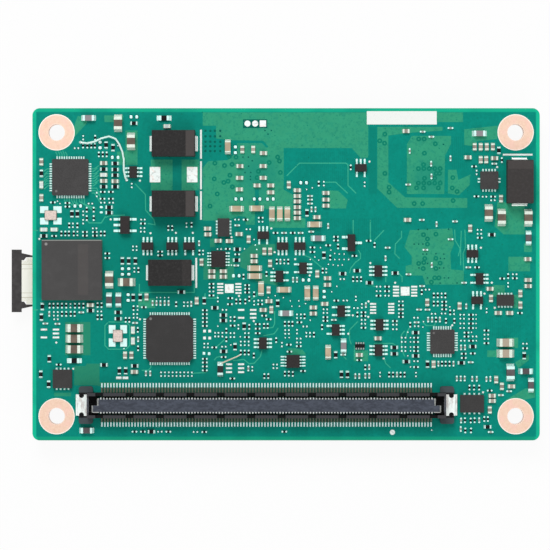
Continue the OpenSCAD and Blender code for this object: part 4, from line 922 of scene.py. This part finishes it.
class MODULE_OT_lay_copper(bpy.types.Operator):
    """Copper areas, traces and vias that show through the mask"""

    bl_idname = "module.lay_copper"
    bl_label = "Lay copper"

    def execute(self, context):
        look = context.scene.module_board
        self.areas(look)
        self.traces(look)
        self.vias(look)
        return {"FINISHED"}

    def areas(self, look):
        """Wide copper, each outline a hair higher than the last so that no two lie in one plane."""
        paint, shade, cloud, fine = mask_paint("mask_on_copper", look.pour, 0.04)
        grain = paint.noise(0.9, 3, 0.6, 17).rise(0.5, 0.72)
        speck = paint.noise(0.42, 2, 0.6, 43).rise(0.52, 0.66)
        dull = paint.field(*DULL_COPPER, 0.3)
        crowded = union([paint.disc(*some) for some in CROWDED_COPPER])
        shaded = union([paint.disc(*some) for some in SHADED_COPPER])
        for share, greener, factor in (
            (grain * 0.5, 0.6, 1),
            (speck * 0.6, 0.5, 0.85),
            (dull * 0.4, 0.5, 1),
            (crowded * 0.65, 0.7, 0.95),
            (shaded * 0.75, 0.3, 0.74),
        ):
            shade = paint.mix(share, shade, tint(blend(look.pour, look.mask, greener), factor))
        mask = paint.finish(shade, 0.36 + cloud * 0.08, fine, 0.006, Specular_IOR_Level=SATIN)
        heights = POUR_LIFT + POUR_STEP * np.arange(len(POURS))
        near = [plate(outline, height) for outline, height in zip(POURS, heights)]
        far = below([plate(outline, FAR_POUR_LIFT) for outline in FAR_POURS])
        piece("copper_areas", near + far, mask)

    def traces(self, look):
        """Narrow copper on a few levels, so that crossing traces don't lie in one plane."""
        mask = plain_mask("mask_on_traces", look.trace, 0.06, 0.34, 0.08, 0.006)
        runs = TRACES + [path for fan in FANS for path in fan_out(*fan)]
        heights = TRACE_LIFT + TRACE_STEP * (np.arange(len(runs)) % TRACE_LEVELS)
        near = [ribbon(path, TRACE_WIDTH, height) for path, height in zip(runs, heights)]
        buses = [path for ends in BUSES for path in bundle(*ends, BUS_ROWS, BUS_SPREAD)]
        far = below([ribbon(path, BUS_WIDTH, TRACE_LIFT) for path in buses])
        piece("copper_traces", near + far, mask)

    def vias(self, look):
        """Vias under the mask, and the gaps that show as rings where copper surrounds them."""
        radius = look.via_radius / MM
        piece(
            "vias",
            [
                mounds(DOT_VIAS, radius, radius, VIA_LIFT, 2, 8),
                mounds(rows_of(*VIA_FIELD), FIELD_VIA, FIELD_VIA, VIA_LIFT, 2, 8),
                plate(TEST_FIELD, RING_LIFT),
                *below([mounds(rows_of(*FAR_VIAS), FAR_VIA, FAR_VIA, VIA_LIFT, 2, 8)]),
            ],
            plain_mask("mask_on_vias", look.via, 0.1, 0.4, 0.1, 0.01),
        )
        rings = [
            collars(some, RING_RADIUS, RING_WIDTH, RING_LIFT + RING_STEP * k, 12)
            for k, some in enumerate((RING_VIAS[0::2], RING_VIAS[1::2], rows_of(*RING_ROWS)))
        ]
        fine = spread_places(SCATTER_COUNT, SCATTER_CLEAR)
        piece(
            "via_clearances",
            rings + [mounds(fine, FINE_VIA, FINE_VIA, RING_LIFT, 2, 8)],
            plain_mask("mask_on_gaps", look.gap, 0.06, 0.38, 0.1, 0.008),
        )


class MODULE_OT_print_legend(bpy.types.Operator):
    """White print: lines, corner dots and one blank plate"""

    bl_idname = "module.print_legend"
    bl_label = "Print legend"

    def execute(self, context):
        look = context.scene.module_board
        ink = grained(
            "legend_ink", (look.legend, blend(look.legend, look.mask, 0.175)), (0.35, 4, 0.7), (0.55, 0.2),
            0.008, window=(0.58, 0.8),
        )
        marks = [ribbon(mark, MARK_WIDTH, INK_LIFT) for chip in FAR_CHIPS for mark in corner_marks(*chip)]
        firsts = [(x - half_x - 1.1, y + half_y + 0.9) for x, y, half_x, half_y in FAR_CHIPS]
        piece(
            "legend",
            [
                *[ribbon(path, INK_WIDTH, INK_LIFT) for path in LEGEND_LINES],
                plate(LEGEND_PLATE, INK_LIFT),
                mounds(CORNER_DOTS, 0.18, 0.18, INK_DOT_LIFT, 2, 10),
                *below(marks),
                *below([mounds(firsts, 0.25, 0.25, INK_DOT_LIFT, 2, 12)]),
            ],
            ink,
        )
        return {"FINISHED"}


def solder_paint(name, base, dull=0.3, patch=0.6):
    """Reflowed solder: bright metal with soft dull patches and a frosty grain."""
    paint = Paint(name)
    patches = paint.noise(patch, 3, 0.6)
    frost = paint.noise(0.08, 2, 0.6, 5)
    shade = paint.mix(patches.rise(0.4, 0.75) * dull, base, blend(base, (0.3, 0.32, 0.33), 0.55))
    return paint.finish(shade, 0.34 + frost * 0.25, frost + patches, 0.006, 0.45)


def mottled_paint(base):
    """Solder on the large lands: grey and rosy patches."""
    paint = Paint("solder_mottled")
    patch = paint.noise(0.55, 2, 0.5)
    blush = paint.noise(0.7, 2, 0.5, 12)
    shade = paint.mix(patch.rise(0.52, 0.66) * 0.45, tint(base, 0.92), srgb(150, 156, 152))
    shade = paint.mix(blush.rise(0.55, 0.7) * 0.4, shade, srgb(236, 200, 190))
    return paint.finish(shade, 0.35 + patch * 0.2, patch, 0.01, 0.6)


def pairs(centres, offset):
    """Two places about each centre, one each way along offset."""
    c = np.array(centres, float)
    return np.concatenate([c + offset, c - np.array(offset)])


class MODULE_OT_tin_lands(bpy.types.Operator):
    """Solder left on lands without a part, and the finish of all solder and tinned metal"""

    bl_idname = "module.tin_lands"
    bl_label = "Tin lands"

    def execute(self, context):
        look = context.scene.module_parts
        bright = solder_paint("solder_bright", look.pads)
        coat_slot("solder", bright)
        coat_slot("tinned_metal", solder_paint("solder_pale", look.solder))
        for name in ("sot_leads", "msop_leads"):
            coat_node(name, bright)
        cream = solder_paint("solder_cream", look.cream, 0.6, 0.3)
        for name in ("capacitor_terminals", "capacitor_terminals_0402", "back_capacitor_terminals"):
            coat_node(name, cream)
        coat_node("array_terminals", solder_paint("solder_dim", tint(look.solder, 0.4)))
        coat_node("open_lands", mottled_paint(look.solder))
        near = np.concatenate([pairs(BARE_PAIRS_V, (0, PAIR_HALF)), pairs(BARE_PAIRS_H, (PAIR_HALF, 0))])
        tall = pairs(BARE_WIDE_V, (0, WIDE_HALF))
        flat = pairs(BARE_WIDE_H, (WIDE_HALF, 0))
        piece(
            "tinned_lands",
            [
                mounds(near, 0.16, 0.16, TIN_LIFT, 2.4, 10),
                mounds(TINNED_DOTS, 0.13, 0.13, TIN_DOT_LIFT, 2, 10),
                mounds(tall, 0.28, 0.24, TIN_LIFT, 3.5, 12),
                mounds(flat, 0.24, 0.28, TIN_LIFT, 3.5, 12),
                mounds(SQUARE_LANDS, 0.23, 0.23, TIN_LIFT, 5, 12),
                mounds(FLAT_LANDS, 0.26, 0.17, TIN_LIFT, 4, 12),
                *below(self.far_lands()),
            ],
            bright,
        )
        # Dark rings round the lands: the mask's edge at each opening, deepened by painted shade
        opening = context.scene.module_board.opening
        piece(
            "shaded_mask_openings",
            [
                collars(near, 0.2, 0.13, OPENING_LIFT, 8),
                collars(TINNED_DOTS, 0.17, 0.1, OPENING_LIFT, 8),
                collars(np.concatenate([tall, flat]), 0.34, 0.14, OPENING_LIFT, 8),
            ],
            plain_mask("shaded_mask_edge", opening, 0.1, 0.4, 0.1, 0.006),
        )
        return {"FINISHED"}

    def far_lands(self):
        """Empty lands of the far side: pairs above and below the memories, test lands, lands by the die."""
        small = pairs(rows_of(*MEMORY_LANDS), (0, 0.35))
        top = box_mm("board")[0][2] - box_mm("cpu_substrate")[0][2]
        return [
            mounds(small, 0.2, 0.2, TIN_LIFT, 3, 10),
            mounds(rows_of(*TEST_LANDS), 0.45, 0.45, TIN_LIFT, 2, 16),
            mounds(rows_of(*DIE_LANDS), 0.3, 0.22, 0.03, 5, 12, top),
        ]


def mould_paint(name, base, look, dots=(), fields=(), top_edge=None, mottle=0.0):
    """Moulding compound: fine mineral speckle, slightly cloudy; round dimples and paler fields on top;
    painted highlight along a given top edge.
    """
    paint = Paint(name)
    speck = paint.noise(0.09, 2, 0.7)
    cloud = paint.noise(1.8, 3, 0.6, 3)
    shade = paint.mix(speck.rise(0.3, 0.75), tint(base, 0.75), tint(base, 1.3))
    shade = paint.mix(cloud.rise(0.4, 0.8) * 0.4, shade, tint(base, 1.35))
    if mottle:
        blotch = paint.noise(0.45, 3, 0.7, 21)
        shade = paint.mix(blotch.rise(0.45, 0.7) * mottle, shade, tint(base, 1.9))
    height = speck * 0.6 + cloud
    for *rectangle, share in fields:
        shade = paint.mix(paint.field(*rectangle, 0.12) * share, shade, look.mark)
    for x, y, radius, share in dots:
        spot = paint.disc(x, y, radius)
        shade = paint.mix(spot * share, shade, blend(look.mark, (1, 1, 1), 0.25))
        height = height - spot * 3
    if top_edge is not None:
        # Painted highlight along the top edge, the side towards the key lamp
        lit = paint.y.rise(top_edge - 0.16, top_edge - 0.06)
        shade = paint.mix(lit * 0.6, shade, (0.55, 0.55, 0.53))
    return paint.finish(shade, 0.5 + cloud * 0.12, height, 0.012, Specular_IOR_Level=SATIN)


def polarity_bands():
    """Paler bands across the large capacitors: x0, x1, y0, y1 and share of each."""
    bands = []
    for x, y, turned, share in TANTALUMS:
        across = (x - BAND_HALF, x + BAND_HALF, y + BAND_FROM, y + BAND_TO)
        along = (x + BAND_FROM, x + BAND_TO, y - BAND_HALF, y + BAND_HALF)
        bands.append((*(across if turned else along), share))
    return bands


class MODULE_OT_paint_packages(bpy.types.Operator):
    """Moulded packages, large capacitors and crystals"""

    bl_idname = "module.paint_packages"
    bl_label = "Paint packages"

    def execute(self, context):
        look = context.scene.module_parts
        coat_slot("chip_mould", mould_paint("chip_moulding", look.mould, look))
        top_edge = box_mm("controller_mould")[1][1]
        shell = mould_paint(
            "controller_moulding", tint(look.mould, 1.25), look, [CONTROLLER_DIMPLE], [CONTROLLER_FIELD],
            top_edge,
        )
        coat_node("controller_mould", shell)
        for node, name, factor, dimples in CHIP_FINISHES:
            coat_node(node, mould_paint(name, tint(look.mould, factor), look, dimples))
        for node in ("sot_bodies", "msop_bodies"):
            coat_node(node, mould_paint(node.replace("bodies", "moulding"), look.small, look))
        fields = polarity_bands() + [TANTALUM_FIELD]
        block_mould = mould_paint("block_moulding", look.tantalum, look, (), fields, None, 0.5)
        coat_slot("tantalum_mould", block_mould)
        green = (srgb(60, 96, 78), srgb(104, 138, 112))
        coat_slot("package_substrate", grained("package_laminate", green, (0.3, 3, 0.6), (0.42, 0.15), 0.01))
        grey = (srgb(120, 112, 106), srgb(158, 148, 140))
        coat_slot("crystal_ceramic", grained("crystal_base", grey, (0.15, 3, 0.7), (0.6, 0.2), 0.01))
        rolled = (look.lid, blend(look.lid, (0.3, 0.28, 0.26), 0.5))
        lid = grained("crystal_lid", rolled, (0.3, 4, 0.7), (0.3, 0.2), 0.008, 0.5, (0.35, 0.7))
        coat_slot("crystal_metal", lid)
        return {"FINISHED"}


def ceramic_paint(name, base, spread=0.3, spots=()):
    """Fired ceramic: each part a little lighter or darker than its neighbour, with a grainy face.

    Spots are (places, radius, colour) of parts that differ from the rest.
    """
    paint = Paint(name)
    part = paint.noise(1.3, 0, 0.5, 40)
    grain = paint.noise(0.1, 3, 0.7)
    shade = paint.mix(part.rise(0.3, 0.7), tint(base, 1 - spread), tint(base, 1 + spread))
    for places, radius, other in spots:
        shade = paint.mix(paint.discs(places, radius), shade, other)
    shade = paint.mix(grain.rise(0.45, 0.8) * 0.3, shade, tint(base, 0.65))
    return paint.finish(shade, 0.45 + grain * 0.2, grain, 0.008, Specular_IOR_Level=0.25)


class MODULE_OT_paint_chips(bpy.types.Operator):
    """Ceramic capacitors, resistors and beads"""

    bl_idname = "module.paint_chips"
    bl_label = "Paint chips"

    def execute(self, context):
        look = context.scene.module_parts
        coat_slot("capacitor_ceramic", ceramic_paint("ceramic_brown", look.brown, 0.2))
        pale = [(PALE_LARGE, 1.3, srgb(186, 172, 152))]
        white = [(PALE_CHIPS, 0.45, srgb(220, 232, 230))]
        for size, name, base, spread, spots in (
            ("0805", "ceramic_large", look.brown, 0.2, pale),
            ("0603", "ceramic_tan", look.tan, 0.16, ()),
            ("0402", "ceramic_rose", look.rose, 0.22, white),
            ("0201", "ceramic_chalk", look.chalk, 0.14, ()),
        ):
            coat_node("capacitor_bodies_" + size, ceramic_paint(name, base, spread, spots))
        glaze = grained(
            "resistor_glaze", (look.glaze, tint(look.glaze, 2.2)), (0.5, 3, 0.6), (0.3, 0.2), 0.01,
            window=(0.4, 0.8), Specular_IOR_Level=0.12,
        )
        coat_slot("resistor_glaze", glaze)
        beads = [(PALE_BEADS, 1.1, srgb(150, 145, 148)), (DARK_BEADS, 1.1, srgb(34, 32, 32))]
        coat_slot("bead_ceramic", ceramic_paint("ferrite_grey", look.ferrite, 0.18, beads))
        return {"FINISHED"}


class MODULE_OT_paint_connectors(bpy.types.Operator):
    """Carrier connector, flat-cable connector and their contacts"""

    bl_idname = "module.paint_connectors"
    bl_label = "Paint connectors"

    def execute(self, context):
        look = context.scene.module_parts
        self.carrier(look)
        self.flat_cable(look)
        self.contacts(look)
        return {"FINISHED"}

    def carrier(self, look):
        """Black moulding with a paler tongue, end blocks and wall tops; painted highlight on the bevels and
        shade in the slots.

        Off is the distance from the housing's middle line, end the distance past its ends.
        """
        low, high = box_mm("connector_housing")
        top = high[2]
        paint = Paint("connector_moulding")
        grain = paint.noise(0.12, 3, 0.7)
        cloud = paint.noise(1.4, 2, 0.5, 8)
        streak = paint.noise(0.45, 3, 0.7, 19, (0.5, 1, 1))
        off = abs(paint.y - (low[1] + high[1]) / 2)
        end = abs(paint.x - (low[0] + high[0]) / 2) - (high[0] - low[0]) / 2
        base = paint.mix(grain.rise(0.3, 0.8), tint(look.housing, 0.75), tint(look.housing, 1.2))
        tongue = paint.mix(streak.rise(0.32, 0.68), tint(look.tongue, 0.72), tint(look.tongue, 1.22))
        face = paint.z.rise(top - 0.95, top - 0.4) * (1 - off.rise(1.12, 1.24))
        # Painted highlight on the bevelled ends of the tongue
        bevel_highlight = paint.band(paint.z, top - 0.88, top - 0.43) * (1 - off.rise(1.15, 1.2))
        bevel_highlight = bevel_highlight * end.rise(-3.5, -3.4)
        # Painted shade on the faces of the slots between tongue and walls
        slot_shade = paint.band(paint.z, 1.3, top - 0.5, 0.05) * off.rise(1.2, 1.3)
        wall = paint.z.rise(top - 0.06, top - 0.02)
        ledge = paint.band(paint.z, 0.95, 1.2, 0.04) * off.rise(2, 2.15)
        for share, other in (
            (face, tongue),
            (bevel_highlight, srgb(205, 208, 205)),
            (slot_shade, tint(look.housing, 0.35)),
            (wall * 0.55, srgb(84, 84, 88)),
            (ledge * (0.7 + grain * 0.3), look.block),
        ):
            base = paint.mix(share, base, other)
        rough = 0.42 + grain * 0.15
        moulding = paint.finish(base, rough, grain + cloud, 0.01, Specular_IOR_Level=SATIN)
        coat_node("connector_housing", moulding)

    def flat_cable(self, look):
        """Ivory housing with a speckled, slightly stained face and two fine lines, and its dark slider."""
        paint = Paint("slider_moulding")
        grain = paint.noise(0.12, 3, 0.7)
        streak = paint.noise(0.9, 2, 0.5, 14)
        base = paint.mix(streak.rise(0.35, 0.7), tint(look.slider, 0.85), tint(look.slider, 1.15))
        slider = paint.finish(base, 0.4 + grain * 0.2, grain, 0.01, Specular_IOR_Level=SATIN)
        coat_node("fpc_slider", slider)
        paint = Paint("ivory_moulding")
        speck = paint.noise(0.14, 3, 0.75)
        low, high = box_mm("fpc_housing")
        off = abs(paint.y - (low[1] + high[1]) / 2)
        line = paint.band(off, 1.94, 2.06, 0.03) * 0.45 + paint.band(off, 2.68, 2.82, 0.03) * 0.6
        stain = (speck.rise(0.45, 0.7) * off.rise(2.75, 2.95) * 0.6).most(line)
        base = paint.mix(stain, look.ivory, srgb(176, 168, 140))
        base = paint.mix(speck.rise(0.5, 0.8) * 0.15, base, srgb(214, 208, 184))
        coat_slot("ivory_moulding", paint.finish(base, 0.45 + speck * 0.2, speck, 0.012))

    def contacts(self, look):
        """Contacts bright at the feet, painted shade along the run, grey at the tips; streaky hold-downs."""
        paint = Paint("contact_metal")
        grain = paint.noise(0.2, 3, 0.6)
        tip = paint.z.rise(*TIP_START)
        run = paint.z.rise(*FOOT_TOP) * (1 - tip)
        ends = paint.mix(tip, tint(look.pads, 1.18), tint(look.solder, 0.7))
        # Along the run, painted shade: the colour of contact metal in the housing's shade
        base = paint.mix(run, ends, look.run)
        metal = 0.3 + run * 0.1
        coat_slot("contact_metal", paint.finish(base, 0.3 + grain * 0.2, grain, 0.006, metal))
        strap = grained(
            "strap_metal", (look.solder, blend(look.solder, srgb(178, 162, 158), 0.6)),
            (0.5, 3, 0.6, 3, (1, 0.25, 1)), (0.3, 0.2), 0.01, 0.7, (0.45, 0.62),
        )
        coat_node("connector_hold_downs", strap)


class MODULE_OT_paint_wires(bpy.types.Operator):
    """Insulation of the two hand-laid wires, with bright soldered ends"""

    bl_idname = "module.paint_wires"
    bl_label = "Paint wires"

    def execute(self, context):
        look = context.scene.module_parts
        paint = Paint("wire_coat")
        kink = paint.noise(0.5, 3, 0.6)
        ends = paint.discs(WIRE_ENDS, 0.26)
        dull = blend(look.wire, (0.5, 0.6, 0.52), 0.4)
        coat = paint.mix(kink.rise(0.45, 0.8) * 0.25, look.wire, dull)
        coat = paint.mix(paint.x.rise(*SHORT_WIRE), coat, srgb(226, 214, 190))
        base = paint.mix(ends, coat, look.solder)
        coat_slot("wire_coat", paint.finish(base, 0.4 + kink * 0.1, kink, 0.01, ends * 0.7))
        return {"FINISHED"}


class MODULE_OT_paint_far_side(bpy.types.Operator):
    """Bare die and power chokes of the processor side"""

    bl_idname = "module.paint_far_side"
    bl_label = "Paint far side"

    def execute(self, context):
        paint = Paint("polished_die")
        swirl = paint.noise(3, 4, 0.6)
        fine = paint.noise(0.2, 2, 0.6)
        base = paint.mix(swirl.rise(0.3, 0.7), srgb(118, 124, 134), srgb(150, 152, 158))
        coat_slot("silicon", paint.finish(base, 0.12 + swirl * 0.12, fine, 0.002, 0.8))
        paint = Paint("pressed_powder")
        speck = paint.cells(0.16)
        cloud = paint.noise(1, 3, 0.6)
        base = paint.mix(speck.rise(0.1, 0.6), srgb(104, 104, 106), srgb(66, 66, 68))
        base = paint.mix(cloud.rise(0.5, 0.8) * 0.4, base, srgb(122, 118, 112))
        coat_slot("choke_powder", paint.finish(base, 0.6 + cloud * 0.2, speck, 0.02, 0.2))
        return {"FINISHED"}


def lamp(name, place, size, watts):
    """A square soft lamp turned to the origin."""
    data = bpy.data.lights.new(name, "AREA")
    data.size = size
    data.energy = watts
    made = bpy.data.objects.new(name, data)
    bpy.context.scene.collection.objects.link(made)
    made.location = place
    made.rotation_euler = (-Vector(place)).to_track_quat("-Z", "Y").to_euler()


class MODULE_OT_set_stage(bpy.types.Operator):
    """White floor, soft light from the top of the picture and the camera straight above"""

    bl_idname = "module.set_stage"
    bl_label = "Set stage"

    def execute(self, context):
        look = context.scene.module_stage
        self.view(context.scene, look)
        self.light(context.scene, look)
        self.floor()
        return {"FINISHED"}

    def view(self, scene, look):
        """A long lens straight above the board."""
        scene.view_settings.view_transform = "Standard"
        data = bpy.data.cameras.new("camera")
        data.lens = LENS
        data.sensor_width = SENSOR
        data.dof.use_dof = False
        data.clip_start = 0.01
        eye = bpy.data.objects.new("camera", data)
        eye.location = (look.middle_x, look.middle_y, look.height)
        scene.collection.objects.link(eye)
        scene.camera = eye

    def light(self, scene, look):
        """Two soft lamps and an even sky, which looks white to the camera."""
        for name, place, size, share in LAMPS:
            lamp(name, place, size, look.key * share)
        world = bpy.data.worlds.new("studio")
        world.use_nodes = True
        scene.world = world
        sky = Nodes(world.node_tree)
        back = world.node_tree.nodes["Background"]
        sky.feed(back.inputs["Color"], (1, 1, 1))
        sky.feed(back.inputs["Strength"], look.sky + sky.seen() * (1 - look.sky))

    def floor(self):
        """A square of floor under the lowest point of the module."""
        ends = [-FLOOR_HALF, FLOOR_HALF]
        plan = rows_of(ends, ends)
        z = np.full((4, 1), CAD_BOX[0][2] - FLOOR_GAP)
        mesh = bpy.data.meshes.new("floor")
        mesh.from_pydata(np.concatenate([plan, z], -1).tolist(), [], [(0, 1, 3, 2)])
        paint = Paint("floor_white")
        paint.finish((0.9, 0.9, 0.9), 0.9)
        glow = paint.node("ShaderNodeEmission", {}, {"Color": (1, 1, 1), "Strength": 1.0})
        matt = Sock(paint, paint.shader.outputs[0])
        both = paint.node("ShaderNodeMixShader", {}, {0: paint.seen() * FLOOR_GLOW, 1: matt, 2: glow})
        paint.feed(paint.tree.nodes["Material Output"].inputs["Surface"], both)
        mesh.materials.append(paint.material)
        made = bpy.data.objects.new("floor", mesh)
        bpy.context.scene.collection.objects.link(made)


STEPS = (
    MODULE_OT_dress_board,
    MODULE_OT_lay_copper,
    MODULE_OT_print_legend,
    MODULE_OT_tin_lands,
    MODULE_OT_paint_packages,
    MODULE_OT_paint_chips,
    MODULE_OT_paint_connectors,
    MODULE_OT_paint_wires,
    MODULE_OT_paint_far_side,
    MODULE_OT_set_stage,
)


class MODULE_PT_panel(bpy.types.Panel):
    """Lists the module's looks and steps"""

    bl_label = "Computer module"
    bl_idname = "MODULE_PT_panel"
    bl_space_type = "VIEW_3D"
    bl_region_type = "UI"
    bl_category = "Module"

    def draw(self, context):
        for look in (context.scene.module_board, context.scene.module_parts, context.scene.module_stage):
            box = self.layout.box()
            for name in look.__annotations__:
                box.prop(look, name)
        for step in STEPS:
            self.layout.operator(step.bl_idname)


CLASSES = (BoardLook, PartLook, StageLook, *STEPS, MODULE_PT_panel)


def register():
    for part in CLASSES:
        bpy.utils.register_class(part)
    bpy.types.Scene.module_board = PointerProperty(type=BoardLook)
    bpy.types.Scene.module_parts = PointerProperty(type=PartLook)
    bpy.types.Scene.module_stage = PointerProperty(type=StageLook)


def unregister():
    del bpy.types.Scene.module_stage
    del bpy.types.Scene.module_parts
    del bpy.types.Scene.module_board
    for part in reversed(CLASSES):
        bpy.utils.unregister_class(part)


def main():
    register()
    bpy.ops.module.dress_board()
    bpy.ops.module.lay_copper()
    bpy.ops.module.print_legend()
    bpy.ops.module.tin_lands()
    bpy.ops.module.paint_packages()
    bpy.ops.module.paint_chips()
    bpy.ops.module.paint_connectors()
    bpy.ops.module.paint_wires()
    bpy.ops.module.paint_far_side()
    bpy.ops.module.set_stage()


if __name__ == "__main__":
    main()
